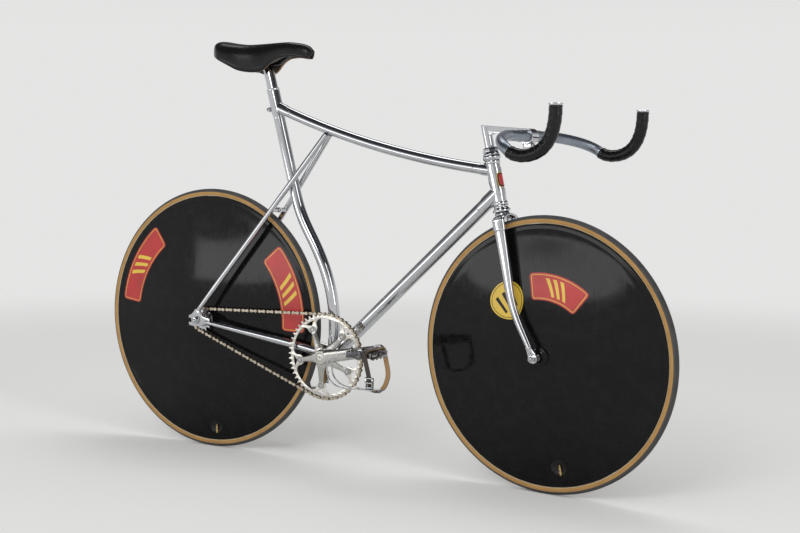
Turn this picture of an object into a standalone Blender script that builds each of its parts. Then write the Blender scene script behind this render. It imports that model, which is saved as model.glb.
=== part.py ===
"""A pursuit track bicycle on disc wheels, in metres, +X forward, +Y to the rider's left, +Z up.

The origin is on the ground, straight below the bottom bracket and in the middle plane.
"""

import bpy
import bmesh
from math import acos, asin, atan2, cos, pi, radians, sin, sqrt
from mathutils import Matrix, Vector
from mathutils.geometry import tessellate_polygon

# Clearances
GAP = 0.0003
RUN = 0.0004
BEARING = 0.0005

# Wheels
REAR_RADIUS = 0.336
FRONT_RADIUS = 0.311
TYRE_WIDTH = 0.022
WHEELBASE = 0.9328
RIM_WIDTH = 0.0205
RIM_DEPTH = 0.012
DISC_BULGE = 0.0165
HUB_FLANGE = 0.0225
HUB_SHELL = 0.0150
AXLE = 0.005
REAR_SPACING = 0.120
FRONT_SPACING = 0.100
TRACK_END = 0.006
FORK_TIP = 0.005
NUT = 0.0085
NUT_WIDTH = 0.010
WASHER = 0.0105

# Transmission
PITCH = 0.0127
RING_TEETH = 51
COG_TEETH = 14
CHAINLINE = 0.042
TOOTH_WIDTH = 0.0028
LINK_INSIDE = 0.0035
LINK_PLATE = 0.0013
LINK_HEIGHT = 0.0082
ROLLER = 0.0052
BB_DROP = 0.0665
BB_SHELL = 0.0200
BB_WIDTH = 0.068
CRANK_LENGTH = 0.170
CRANK_REST = 10.3
BOLT_CIRCLE = 0.072
SPINDLE = 0.0085
Q_FACTOR = 0.138

# Frame tubes
SEAT_ANGLE = 75.0
SEAT_RISE = 0.6505
SEAT_SETBACK = 0.1841
SEAT_TUBE = 0.0143
TYRE_TO_TUBE = 0.027
TOP_TUBE = 0.0127
TOP_TUBE_SAG = 0.022
TOP_TUBE_REAR_DROP = 0.044
DOWN_TUBE = 0.0159
SEAT_STAY = 0.0070
CHAIN_STAY = 0.0105
STAY_TIP = 0.0058
BRIDGE_ROOM = 0.0221

# Fork and headset
HEAD_ANGLE = 77.5
FORK_RAKE = 0.040
BEND_START = 0.160
BEND_KNEE = 0.115
BEND_END = 0.075
TYRE_TO_CROWN = 0.0067
CROWN_HEIGHT = 0.0130
LOWER_STACK = 0.019
HEAD_TUBE = 0.102
HEAD_TUBE_RADIUS = 0.0159
HEAD_TUBE_WALL = 0.0011
UPPER_CUP = 0.011
TOP_RACE = 0.0090
LOCKNUT = 0.0100
CUP_RADIUS = 0.0205
STEERER = 0.0127
STEERER_BORE = 0.0115
BLADE_SPREAD = 0.031
BLADE_DEPTH = 0.0140
BLADE_WIDTH = 0.0090
STEER_REST = -5.86

# Stem and handlebar
QUILL = 0.0111
STEM_TOP = 0.0515
STEM_SLOPE = 5.0
STEM_REACH = 0.1124
STEM_DEPTH = 0.0155
STEM_WIDTH = 0.0170
CLAMP = 0.0172
CLAMP_WIDTH = 0.030
BAR = 0.0120
BAR_SLEEVE = 0.0132
SLEEVE_HALF = 0.046
SLEEVE_TAPER = 0.004
BAR_STRAIGHT = 0.0863
BAR_CORNER = 0.0162
BAR_FORWARD = 0.0715
BAR_HALF_WIDTH = 0.2112
BAR_FALL = 0.0352
BAR_FALL_ANGLE = 35.7
BAR_SWEEP = 0.0464
HORN_FORWARD = 0.0300
HORN_FALL = 0.0087
HORN_EASE = 0.0100
HORN_REACH = 0.1040
HORN_RISE = 0.0903
HORN_HOOK = 0.045
HORN_UPRIGHT = 0.070
HORN_FLARE = 0.0013
TAPE_INNER = 0.0011
TAPE_OUTER = 0.0020
TAPE_PITCH = 0.0165

# Seat post and saddle
POST = 0.0135
POST_BURIED = 0.125
POST_SHOWN = 0.0663
SADDLE_LENGTH = 0.3027
SADDLE_REAR = 0.1600
SADDLE_HALF_WIDTH = 0.068
SADDLE_CROWN = 0.0490
SADDLE_PAD = 0.0060
SADDLE_BASE = 0.0025
RAIL = 0.0035
RAIL_SPREAD = 0.0200

# Pedals
PEDAL_AXLE = 0.0045
PEDAL_BARREL = 0.0100
CAGE_LENGTH = 0.066
CAGE_WIDTH = 0.078
CAGE_HEIGHT = 0.022
CAGE_SHEET = 0.0022
CLIP_REACH = 0.068
CLIP_HEIGHT = 0.084
CLIP_LEG = 0.0055
CLIP_STEEL = 0.0018
CLIP_SPREAD = 0.011
CLIP_FOOT = 0.012
CLIP_NOSE = 0.040
CLIP_NOSE_LOW = 0.024
CLIP_NOSE_HIGH = 0.026
CLIP_FLOOR = 0.030
CLIP_ROOF = 0.040
GUIDE_START = 0.020
GUIDE_END = 0.040
GUIDE_WIDTH = 0.0215
STRAP_WAIST = 0.045
STRAP_BEND = 0.066
STRAP_SHOULDER = 0.080
STRAP_WIDTH = 0.012
STRAP_THICKNESS = 0.0022

X = Vector((1, 0, 0))
Y = Vector((0, 1, 0))
Z = Vector((0, 0, 1))


# Shapes are pairs of points and faces, in the bicycle's frame with the fork straight ahead.


def loft(rings, loop=False):
    """Joins rings of points into one skin, capped unless the rings come round to the first."""
    size = len(rings[0])
    points = [p for ring in rings for p in ring]
    faces = []
    for i in range(len(rings) if loop else len(rings) - 1):
        low = i * size
        high = (i + 1) % len(rings) * size
        for j in range(size):
            k = (j + 1) % size
            faces.append((low + j, low + k, high + k, high + j))
    if not loop:
        faces.append(tuple(range(size)))
        faces.append(tuple(reversed(range(len(points) - size, len(points)))))
    return points, faces


def circle(centre, across, up, radius, sides, turn=0.5, high=None):
    high = radius if high is None else high
    steps = [2 * pi * (j + turn) / sides for j in range(sides)]
    return [centre + across * (radius * cos(a)) + up * (high * sin(a)) for a in steps]


def square_to(axis, hint=None):
    """Two unit vectors square to an axis, the first as near to the hint as can be."""
    axis = axis.normalized()
    hint = hint or (X if abs(axis.x) < 0.7 else Z)
    first = (hint - axis * hint.dot(axis)).normalized()
    return first, axis.cross(first)


def turned(profile, centre, axis, steps=24, bore=False, hint=None):
    """A profile of (radius, distance along the axis) spun about it. With a bore, the profile is a loop."""
    axis = axis.normalized()
    first, second = square_to(axis, hint)
    rings = [circle(centre + axis * h, first, second, r, steps) for r, h in profile]
    return loft(rings, loop=bore)


def rod(start, end, radius, sides=16, hint=None):
    return turned([(radius, 0), (radius, (end - start).length)], start, end - start, sides, hint=hint)


def ring(inner, outer, low, high, centre, axis, steps=24, hint=None):
    profile = [(inner, low), (outer, low), (outer, high), (inner, high)]
    return turned(profile, centre, axis, steps, bore=True, hint=hint)


def carried(points, side):
    """Frames (point, tangent, side, up) along a path, with the side turned as little as the path allows."""
    frames = []
    for i, point in enumerate(points):
        before = points[max(i - 1, 0)]
        after = points[min(i + 1, len(points) - 1)]
        along = (after - before).normalized()
        side = (side - along * side.dot(along)).normalized()
        frames.append((point, along, side, along.cross(side)))
    return frames


def tube(points, radii, sides=16, side=Y):
    """A round or oval tube. radii holds one radius, or one radius or (sideways, upright) pair a point."""
    if not isinstance(radii, (list, tuple)):
        radii = [radii] * len(points)
    rings = []
    for (point, _, across, up), radius in zip(carried(points, side), radii):
        wide, high = radius if isinstance(radius, tuple) else (radius, radius)
        rings.append(circle(point, across, up, wide, sides, high=high))
    return loft(rings)


def strip(points, widths, thickness, side=Y, closed=False):
    """A flat band, its width along the side."""
    frames = carried(points, side)
    if closed:
        frames = frames[:-1]
    rings = []
    for (point, _, across, up), width in zip(frames, widths):
        a = across * (width / 2)
        b = up * (thickness / 2)
        rings.append([point + a + b, point - a + b, point - a - b, point + a - b])
    return loft(rings, loop=closed)


def prism(outline, low, high, centre, u, v, holes=()):
    """A flat outline with holes, given thickness along u x v."""
    w = u.cross(v)
    loops = [outline, *holes]
    flat = [p for one in loops for p in one]
    triangles = tessellate_polygon([[Vector((a, b, 0)) for a, b in one] for one in loops])
    points = [centre + u * a + v * b + w * low for a, b in flat]
    points += [centre + u * a + v * b + w * high for a, b in flat]
    faces = [tuple(t) for t in triangles] + [tuple(i + len(flat) for i in t) for t in triangles]
    start = 0
    for one in loops:
        for j in range(len(one)):
            k = (j + 1) % len(one)
            a, b = start + j, start + k
            faces.append((a, b, b + len(flat), a + len(flat)))
        start += len(one)
    return points, faces


def block(low, high):
    """A box between two corners."""
    outline = [(low.x, low.y), (high.x, low.y), (high.x, high.y), (low.x, high.y)]
    return prism(outline, low.z, high.z, Vector(), X, Y)


def mesh_of(shape, name="shape"):
    work = bmesh.new()
    verts = [work.verts.new(p) for p in shape[0]]
    for face in shape[1]:
        work.faces.new([verts[i] for i in face])
    bmesh.ops.recalc_face_normals(work, faces=work.faces)
    mesh = bpy.data.meshes.new(name)
    work.to_mesh(mesh)
    work.free()
    return mesh


def combined(operation, first, *others):
    """Joins shapes, or cuts the others from the first, with exact Booleans."""
    host = bpy.data.objects.new("host", mesh_of(first))
    tools = [bpy.data.objects.new("tool", mesh_of(other)) for other in others]
    for one in [host, *tools]:
        bpy.context.scene.collection.objects.link(one)
    for tool in tools:
        step = host.modifiers.new("step", "BOOLEAN")
        step.operation = operation
        step.solver = "EXACT"
        step.object = tool
    graph = bpy.context.evaluated_depsgraph_get()
    mesh = bpy.data.meshes.new_from_object(host.evaluated_get(graph))
    shape = [v.co.copy() for v in mesh.vertices], [tuple(p.vertices) for p in mesh.polygons]
    for one in [host, *tools]:
        data = one.data
        bpy.data.objects.remove(one)
        bpy.data.meshes.remove(data)
    bpy.data.meshes.remove(mesh)
    return shape


def joined(first, *others):
    return combined("UNION", first, *others)


def cut(first, *others):
    return combined("DIFFERENCE", first, *others)


def moved(shape, matrix):
    return [matrix @ p for p in shape[0]], shape[1]


def mirrored(shape):
    return [Vector((p.x, -p.y, p.z)) for p in shape[0]], [tuple(reversed(f)) for f in shape[1]]


def bezier(a, b, c, d, steps):
    """Points of a cubic curve from a to d, without its first point."""
    found = []
    for i in range(1, steps + 1):
        t = i / steps
        s = 1 - t
        found.append(a * s**3 + b * (3 * s * s * t) + c * (3 * s * t * t) + d * t**3)
    return found


def bowed(start, end, sag, steps):
    """Points of a circular arc that dips below its chord by the sag, in the XZ plane."""
    chord = end - start
    half = chord.length / 2
    radius = (half * half + sag * sag) / (2 * sag)
    along = chord.normalized()
    lift = Y.cross(along)
    lift = lift if lift.z > 0 else -lift
    centre = (start + end) / 2 + lift * (radius - sag)
    reach = asin(half / radius)
    angles = [reach * (2 * i / steps - 1) for i in range(steps + 1)]
    return [centre + along * (radius * sin(a)) - lift * (radius * cos(a)) for a in angles]


def smooth(values, t):
    """A smooth curve through (place, value) pairs, level where the values turn."""
    places = [p for p, _ in values]
    heights = [h for _, h in values]
    slopes = [(heights[i + 1] - heights[i]) / (places[i + 1] - places[i]) for i in range(len(values) - 1)]
    tangents = [slopes[0]]
    for a, b in zip(slopes, slopes[1:]):
        tangents.append(0 if a * b <= 0 else 2 * a * b / (a + b))
    tangents.append(slopes[-1])
    i = max(j for j in range(len(slopes)) if j == 0 or places[j] <= t)
    span = places[i + 1] - places[i]
    s = (t - places[i]) / span
    value = heights[i] * (1 + 2 * s) * (1 - s) ** 2 + heights[i + 1] * s * s * (3 - 2 * s)
    return value + span * (tangents[i] * s * (1 - s) ** 2 - tangents[i + 1] * s * s * (1 - s))


# The scene: bodies are empties on their joints' axes, and each solid is a child of its body.

for old in list(bpy.data.objects):
    bpy.data.objects.remove(old, do_unlink=True)

bodies = {}
paints = {}


def paint(name, colour, roughness, metallic):
    made = bpy.data.materials.new(name)
    made.use_nodes = True
    shader = made.node_tree.nodes["Principled BSDF"]
    shader.inputs["Base Color"].default_value = (*colour, 1)
    shader.inputs["Roughness"].default_value = roughness
    shader.inputs["Metallic"].default_value = metallic
    made.diffuse_color = (*colour, 1)
    paints[name] = made


paint("chrome", (0.78, 0.79, 0.81), 0.10, 1.0)
paint("polished_alloy", (0.80, 0.79, 0.76), 0.25, 1.0)
paint("silver_alloy", (0.76, 0.76, 0.78), 0.32, 1.0)
paint("steel", (0.55, 0.55, 0.57), 0.35, 1.0)
paint("chain_steel", (0.72, 0.68, 0.60), 0.35, 1.0)
paint("black_disc", (0.006, 0.006, 0.007), 0.08, 0.0)
paint("tyre_tan", (0.55, 0.34, 0.12), 0.65, 0.0)
paint("black_leather", (0.012, 0.012, 0.013), 0.42, 0.0)
paint("brown_leather", (0.22, 0.11, 0.05), 0.60, 0.0)
paint("black_tape", (0.010, 0.010, 0.010), 0.50, 0.0)
paint("strap_leather", (0.30, 0.17, 0.07), 0.60, 0.0)


def body(name, at, carrier=None):
    pivot = bpy.data.objects.new(name + "_pivot", None)
    pivot.empty_display_size = 0.03
    bpy.context.scene.collection.objects.link(pivot)
    pivot.location = at - bodies[carrier][1] if carrier else at
    if carrier:
        pivot.parent = bodies[carrier][0]
    bodies[name] = pivot, at
    return pivot


def solid(name, shape, material, on):
    """Makes the named object on its body."""
    pivot, at = bodies[on]
    mesh = mesh_of(([p - at for p in shape[0]], shape[1]), name)
    mesh.materials.append(paints[material])
    mesh.shade_smooth()
    mesh.set_sharp_from_angle(angle=radians(35))
    made = bpy.data.objects.new(name, mesh)
    bpy.context.scene.collection.objects.link(made)
    made.parent = pivot
    return made


# Places that the pieces share


def pitch_radius(teeth):
    return PITCH / (2 * sin(pi / teeth))


RING_RADIUS = pitch_radius(RING_TEETH)
COG_RADIUS = pitch_radius(COG_TEETH)


def chain_length(centres):
    """Links round both wheels of teeth for a distance between their centres."""
    lean = asin((RING_RADIUS - COG_RADIUS) / centres)
    wrapped = (pi + 2 * lean) * RING_TEETH / (2 * pi) + (pi - 2 * lean) * COG_TEETH / (2 * pi)
    return wrapped + 2 * centres * cos(lean) / PITCH


def centres_for(links):
    """The distance between centres at which the chain is just taut, by halving."""
    low = RING_RADIUS + COG_RADIUS
    high = low + links * PITCH
    for _ in range(60):
        middle = (low + high) / 2
        if chain_length(middle) < links:
            low = middle
        else:
            high = middle
    return (low + high) / 2


def links_for(room):
    """The fewest links, in pairs, that keep the rear axle this far from the bottom bracket."""
    links = 2 * int((RING_TEETH + COG_TEETH) / 4)
    while centres_for(links) < room:
        links += 2
    return links


CHAIN_LINKS = links_for(REAR_RADIUS + TYRE_TO_TUBE + BB_SHELL)
CENTRES = centres_for(CHAIN_LINKS)
bb = Vector((0, 0, REAR_RADIUS - BB_DROP))
rear_axle = Vector((-sqrt(CENTRES**2 - BB_DROP**2), 0, REAR_RADIUS))
front_axle = Vector((rear_axle.x + WHEELBASE, 0, FRONT_RADIUS))
head = radians(HEAD_ANGLE)
steering = Vector((-cos(head), 0, sin(head)))
ahead = Vector((sin(head), 0, cos(head)))
foot_of_axis = front_axle - ahead * FORK_RAKE


def on_axis(distance):
    """A point on the steering axis, measured from the foot of the axle's square."""
    return foot_of_axis + steering * distance


CROWN_UNDER = sqrt((FRONT_RADIUS + TYRE_TO_CROWN) ** 2 - FORK_RAKE**2)
CROWN_RACE = CROWN_UNDER + CROWN_HEIGHT
HEAD_LOW = CROWN_RACE + LOWER_STACK
HEAD_HIGH = HEAD_LOW + HEAD_TUBE
STACK_TOP = HEAD_HIGH + UPPER_CUP + TOP_RACE + LOCKNUT

seat = radians(SEAT_ANGLE)
post_up = Vector((-cos(seat), 0, sin(seat)))
seat_top = bb + Vector((-SEAT_SETBACK, 0, SEAT_RISE))
seat_axis_low = seat_top - post_up * 0.27

body("frame", Vector((0, 0, 0)))
body("rear_wheel", rear_axle)
body("crankset", bb)
body("seat", seat_top)
body("saddle", seat_top + post_up * POST_SHOWN, "seat")
fork = body("fork", on_axis(HEAD_LOW))
body("front_wheel", front_axle, "fork")


# Frame

def seat_tube_line():
    """Straight from the lug, then bent round the rear tyre, then straight down to the bottom bracket."""
    clear = REAR_RADIUS + TYRE_TO_TUBE + SEAT_TUBE
    start, end = radians(24), radians(2)
    over = rear_axle + Vector((clear * cos(start), 0, clear * sin(start)))
    heading = Vector((sin(start), 0, -cos(start)))
    line = [seat_top, seat_axis_low]
    line += bezier(seat_axis_low, seat_axis_low - post_up * 0.08, over - heading * 0.08, over, 4)
    for i in range(1, 5):
        a = start + (end - start) * i / 4
        line.append(rear_axle + Vector((clear * cos(a), 0, clear * sin(a))))
    line.append(bb)
    return line


top_tube_rear = seat_top - post_up * TOP_TUBE_REAR_DROP
top_tube_front = on_axis(HEAD_HIGH - 0.0225)
down_tube_front = on_axis(HEAD_LOW + 0.0300)
top_tube_line = bowed(top_tube_rear, top_tube_front, TOP_TUBE_SAG, 8)
seat_line = seat_tube_line()
shell_cutter = rod(bb - Y * BB_WIDTH, bb + Y * BB_WIDTH, BB_SHELL + GAP, 20)
head_cutter = rod(on_axis(HEAD_LOW - 0.02), on_axis(HEAD_HIGH + 0.02), HEAD_TUBE_RADIUS + 0.0012 + GAP, 16, Y)


def seat_tube():
    """The tube stepped out at its lugs, the pinch ears behind it, the slot and the bore for the post."""
    steps = [(0, 0.0019), (0.0255, 0.0019), (0.0263, 0.0013), (0.0660, 0.0013), (0.0668, 0)]
    line = [seat_top - post_up * d for d, _ in steps] + seat_line[1:]
    radii = [SEAT_TUBE + more for _, more in steps] + [SEAT_TUBE] * (len(seat_line) - 1)
    pipe = tube(line, radii, 14)
    back = Vector((-sin(seat), 0, -cos(seat)))
    ears = top_tube_rear + post_up * -0.003 + back * (SEAT_TUBE + 0.0045)
    lobe = turned([(0.0058, -0.0095), (0.0058, 0.0095)], ears, Y, 12)
    web = prism(
        [(-0.0085, -0.0048), (0.0005, -0.0048), (0.0005, 0.0048), (-0.0085, 0.0048)],
        -0.0089, 0.0089, ears, back, post_up,
    )
    whole = joined(pipe, joined(lobe, web))
    bore = rod(seat_top - post_up * (POST_BURIED + 0.075), seat_top + post_up * 0.02, POST + GAP, 14, Y)
    slot = prism(
        [(0.002, -0.0577), (0.04, -0.0577), (0.04, 0.013), (0.002, 0.013)],
        -0.0008, 0.0008, seat_top, back, post_up,
    )
    hole = turned([(0.0033, -0.02), (0.0033, 0.02)], ears, Y, 10)
    return cut(cut(cut(whole, bore), slot), hole, shell_cutter), ears


seat_tube_shape, ears_at = seat_tube()
seat_cutter = tube(seat_line, SEAT_TUBE + GAP + 0.0013, 14)
solid("seat_tube", seat_tube_shape, "chrome", "frame")
binder = joined(
    turned([(0.0030, -0.0130), (0.0030, 0.0130)], ears_at, Y, 10),
    turned([(0.0048, -0.0135), (0.0048, -0.0098)], ears_at, Y, 6),
    turned([(0.0048, 0.0098), (0.0048, 0.0135)], ears_at, Y, 10),
)
solid("seat_binder_bolt", binder, "steel", "frame")

solid("top_tube", cut(tube(top_tube_line, TOP_TUBE, 12), seat_cutter, head_cutter), "chrome", "frame")
down_tube = tube([bb, down_tube_front], DOWN_TUBE, 12)
solid("down_tube", cut(down_tube, shell_cutter, head_cutter, seat_cutter), "chrome", "frame")


def head_tube():
    """The tube with an open bore, a band at each end and a lug socket round each main tube."""
    outer = HEAD_TUBE_RADIUS
    band = outer + 0.0012
    inner = outer - HEAD_TUBE_WALL
    profile = [
        (inner, HEAD_LOW), (band, HEAD_LOW), (band, HEAD_LOW + 0.007), (outer, HEAD_LOW + 0.008),
        (outer, HEAD_HIGH - 0.008), (band, HEAD_HIGH - 0.007), (band, HEAD_HIGH), (inner, HEAD_HIGH),
    ]
    pipe = turned(profile, foot_of_axis, steering, 16, bore=True, hint=Y)
    sockets = []
    bores = []
    for line, radius in (([down_tube_front, bb], DOWN_TUBE), (list(reversed(top_tube_line)), TOP_TUBE)):
        along = (line[1] - line[0]).normalized()
        start = line[0]
        end = start + along * 0.042
        sockets.append(rod(start, end, radius + 0.0017, 12, Y))
        bores.append(rod(start - along * 0.01, end + along * 0.01, radius + GAP + 0.0003, 12, Y))
    solid_head = rod(on_axis(HEAD_LOW - 0.03), on_axis(HEAD_HIGH + 0.03), outer - 0.0004, 16, Y)
    ends = [cut(socket, bore, solid_head) for socket, bore in zip(sockets, bores)]
    return joined(joined(pipe, ends[0]), ends[1])


solid("head_tube", head_tube(), "chrome", "frame")

shell = ring(BB_SHELL - 0.0028, BB_SHELL, -BB_WIDTH / 2, BB_WIDTH / 2, bb, Y, 20)
solid("bottom_bracket_shell", shell, "chrome", "frame")


def bb_cup(side, lockring):
    """A bearing cup in the shell, with a flange outside it and, on the left, its lockring."""
    bore = SPINDLE + BEARING
    skirt = BB_SHELL - 0.0028 - GAP
    face = BB_WIDTH / 2
    rim = skirt + 0.0020
    if lockring:
        rim = BB_SHELL + 0.0012
    profile = [
        (bore, face - 0.014), (skirt, face - 0.014), (skirt, face + GAP), (rim, face + GAP),
        (rim, face + 0.0032), (bore, face + 0.0055),
    ]
    return turned(profile, bb, Y * side, 14, bore=True)


solid("bb_cup_right", bb_cup(-1, False), "steel", "frame")
solid("bb_cup_left", bb_cup(1, True), "steel", "frame")


def grown(outline, by):
    """An outline moved outwards by a distance, for the clearance round a plate."""
    area = sum(a[0] * b[1] - b[0] * a[1] for a, b in zip(outline, outline[1:] + outline[:1]))
    way = 1 if area > 0 else -1
    found = []
    for before, here, after in zip(outline[-1:] + outline[:-1], outline, outline[1:] + outline[:1]):
        into = Vector((here[0] - before[0], here[1] - before[1])).normalized()
        out = Vector((after[0] - here[0], after[1] - here[1])).normalized()
        normal = Vector((into.y + out.y, -into.x - out.x)).normalized() * way
        share = max(normal.dot(Vector((into.y, -into.x)) * way), 0.5)
        found.append((here[0] + normal.x * by / share, here[1] + normal.y * by / share))
    return found


PLATE_IN = REAR_SPACING / 2
PLATE_OUT = PLATE_IN + TRACK_END
SLOT = AXLE + GAP


def track_end_outline():
    """The plate seen from the side, from the axle: a slot open to the rear and a tab to each stay."""
    slot_end = [(0.004 + SLOT * sin(a), -SLOT * cos(a)) for a in [pi * i / 6 for i in range(7)]]
    upper = [(-0.024, SLOT), (-0.024, 0.0125), (-0.013, 0.0165), (-0.006, 0.0260), (0.0055, 0.0300)]
    front = [(0.0120, 0.0200), (0.0200, 0.0105), (0.0420, 0.0060), (0.0420, -0.0060), (0.0180, -0.0120)]
    lower = [(-0.004, -0.0150), (-0.019, -0.0135), (-0.024, -0.0110), (-0.024, -SLOT)]
    return upper + front + lower + slot_end


plate_outline = track_end_outline()
plate = prism([(b, a) for a, b in plate_outline], PLATE_IN, PLATE_OUT, rear_axle, Z, X)
solid("track_end_left", plate, "chrome", "frame")
solid("track_end_right", mirrored(plate), "chrome", "frame")
plate_cutter = prism(
    [(b, a) for a, b in grown(plate_outline, GAP)],
    PLATE_IN - GAP, PLATE_OUT + GAP, rear_axle, Z, X,
)

PLATE_MIDDLE = (PLATE_IN + PLATE_OUT) / 2
stay_foot = rear_axle + Vector((0.0020, PLATE_MIDDLE, 0.0235))
stay_slope = Vector((1, 0, 1.26)).normalized()


def seat_stay_line():
    """From the track end past the side of the seat tube to the underside of the top tube."""
    across = Vector((post_up.z, 0, -post_up.x))
    reach = (seat_top - stay_foot).dot(across) / stay_slope.dot(across)
    off_line = [(p - stay_foot).cross(stay_slope).length for p in top_tube_line]
    nearest = top_tube_line[off_line.index(min(off_line))]
    far = (nearest - stay_foot).dot(stay_slope)
    beside_tube = (SEAT_TUBE + SEAT_STAY + GAP - PLATE_MIDDLE) / reach
    beside_twin = (SEAT_STAY + GAP - PLATE_MIDDLE) / far
    direction = stay_slope + Y * max(beside_tube, beside_twin)
    return stay_foot, stay_foot + direction * far, direction


stay_low, stay_high, stay_direction = seat_stay_line()


def seat_stay():
    """A stay that tapers near the track end, forked over its tab and coped to the top tube."""
    line = [stay_low, stay_low.lerp(stay_high, 0.10), stay_high]
    pipe = tube(line, [STAY_TIP, SEAT_STAY, SEAT_STAY], 10)
    top_cutter = tube(top_tube_line, TOP_TUBE + GAP, 12)
    return cut(pipe, plate_cutter, top_cutter)


stay = seat_stay()
solid("seat_stay_left", stay, "chrome", "frame")
solid("seat_stay_right", mirrored(stay), "chrome", "frame")



def bridge_place():
    """The point of the left stay that clears the tyre by the bridge's room."""
    foot = stay_low - rear_axle
    foot.y = 0
    drop = foot.dot(stay_slope)
    clear = REAR_RADIUS + BRIDGE_ROOM
    return stay_low + stay_direction * (sqrt(drop**2 - foot.length_squared + clear**2) - drop)


bridge_at = bridge_place()
bridge = rod(bridge_at * 1, Vector((bridge_at.x, -bridge_at.y, bridge_at.z)), 0.0052, 10)
stay_cutter = rod(stay_low, stay_high, SEAT_STAY + GAP, 10, Y)
solid("seat_stay_bridge", cut(bridge, stay_cutter, mirrored(stay_cutter)), "chrome", "frame")


def chain_stay():
    """Close in beside the chainring, then bent out to the track end."""
    narrow = 0.0260
    foot = rear_axle + Vector((0.024, PLATE_MIDDLE, -0.002))
    start = Vector((0, narrow, bb.z + 0.002))
    knee = start.lerp(foot, 0.34)
    knee.y = narrow + 0.001
    bend = bezier(knee + X * 0.030, knee + X * 0.012, knee.lerp(foot, 0.05), knee.lerp(foot, 0.13), 3)
    for p in bend:
        p.z = start.z + (foot.z - start.z) * (p.x - start.x) / (foot.x - start.x)
    early = start.lerp(Vector((knee.x + 0.030, knee.y, knee.z)), 1.0)
    early.z = start.z + (foot.z - start.z) * (early.x - start.x) / (foot.x - start.x)
    line = [start, early, *bend, bend[-1].lerp(foot, 0.85), foot]
    wide = CHAIN_STAY - 0.0027
    radii = [(wide, CHAIN_STAY), (wide, CHAIN_STAY)] + [(wide, CHAIN_STAY - 0.0005)] * 3
    radii += [(STAY_TIP + 0.0008, STAY_TIP + 0.0008), (STAY_TIP, STAY_TIP)]
    return cut(tube(line, radii, 10), shell_cutter, plate_cutter)


stay = chain_stay()
solid("chain_stay_left", stay, "chrome", "frame")
solid("chain_stay_right", mirrored(stay), "chrome", "frame")


def nut(side, face, centre):
    """A hexagon nut with its washer fused. Twelve points a ring hold both the hexagon and the round flange."""
    rings = []
    bore = AXLE + GAP
    for radius, out, hexagonal in (
        (bore, 0, False), (WASHER, 0, False), (WASHER, 0.0020, False), (NUT, 0.0024, True),
        (NUT, NUT_WIDTH, True), (bore, NUT_WIDTH, False),
    ):
        points = []
        for j in range(12):
            a = 2 * pi * j / 12
            r = radius * cos(pi / 6) if hexagonal and j % 2 else radius
            points.append(centre + X * (r * cos(a)) + Z * (r * sin(a)) + Y * (side * (face + out)))
        rings.append(points)
    return loft(rings, loop=True)


def axle(spacing, hub_half, plate_width, centre):
    """The axle with a cone and locknut fused on each side, up to the frame's faces."""
    end = spacing / 2 + plate_width + NUT_WIDTH + 0.0028
    lock = spacing / 2 - GAP
    cone = hub_half + RUN
    profile = [(AXLE, -end), (AXLE, -lock), (0.0085, -lock), (0.0085, -cone), (AXLE, -cone)]
    profile += [(r, -h) for r, h in reversed(profile)]
    return turned(profile, centre, Y, 12, hint=X)


REAR_HUB_HALF = 0.0475
FRONT_HUB_HALF = 0.0405
solid("rear_axle", axle(REAR_SPACING, REAR_HUB_HALF, TRACK_END, rear_axle), "steel", "frame")
for word, side in (("right", -1), ("left", 1)):
    solid("rear_axle_nut_" + word, nut(side, PLATE_OUT + GAP, rear_axle), "chrome", "frame")

# Headset and fork

lower_cup = turned(
    [
        (STEERER + RUN, HEAD_LOW - GAP), (STEERER + RUN, HEAD_LOW - 0.009),
        (CUP_RADIUS - 0.003, HEAD_LOW - LOWER_STACK + 0.0035), (CUP_RADIUS, HEAD_LOW - LOWER_STACK + 0.0035),
        (CUP_RADIUS, HEAD_LOW - 0.0075), (HEAD_TUBE_RADIUS + 0.0015, HEAD_LOW - GAP),
    ],
    foot_of_axis, steering, 14, bore=True, hint=Y,
)
solid("headset_cup_lower", lower_cup, "chrome", "frame")
upper_cup = turned(
    [
        (STEERER + RUN, HEAD_HIGH + GAP), (HEAD_TUBE_RADIUS + 0.0015, HEAD_HIGH + GAP),
        (CUP_RADIUS, HEAD_HIGH + 0.005), (CUP_RADIUS, HEAD_HIGH + UPPER_CUP),
        (STEERER + RUN, HEAD_HIGH + UPPER_CUP),
    ],
    foot_of_axis, steering, 14, bore=True, hint=Y,
)
solid("headset_cup_upper", upper_cup, "chrome", "frame")

RACE_LOW = HEAD_HIGH + UPPER_CUP + RUN
NUT_LOW = HEAD_HIGH + UPPER_CUP + TOP_RACE
top_race = turned(
    [
        (STEERER + GAP, RACE_LOW), (CUP_RADIUS - 0.0008, RACE_LOW), (CUP_RADIUS - 0.0008, RACE_LOW + 0.003),
        (CUP_RADIUS - 0.003, NUT_LOW - GAP), (STEERER + GAP, NUT_LOW - GAP),
    ],
    foot_of_axis, steering, 14, bore=True, hint=Y,
)
solid("headset_top_race", top_race, "chrome", "fork")
locknut = turned(
    [
        (STEERER + GAP, NUT_LOW), (CUP_RADIUS - 0.0030, NUT_LOW), (CUP_RADIUS - 0.0030, STACK_TOP - 0.002),
        (CUP_RADIUS - 0.0045, STACK_TOP), (QUILL + GAP, STACK_TOP), (QUILL + GAP, STACK_TOP - 0.0025),
        (STEERER + GAP, STACK_TOP - 0.0025),
    ],
    foot_of_axis, steering, 14, bore=True, hint=Y,
)
solid("headset_locknut", locknut, "chrome", "fork")


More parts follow.
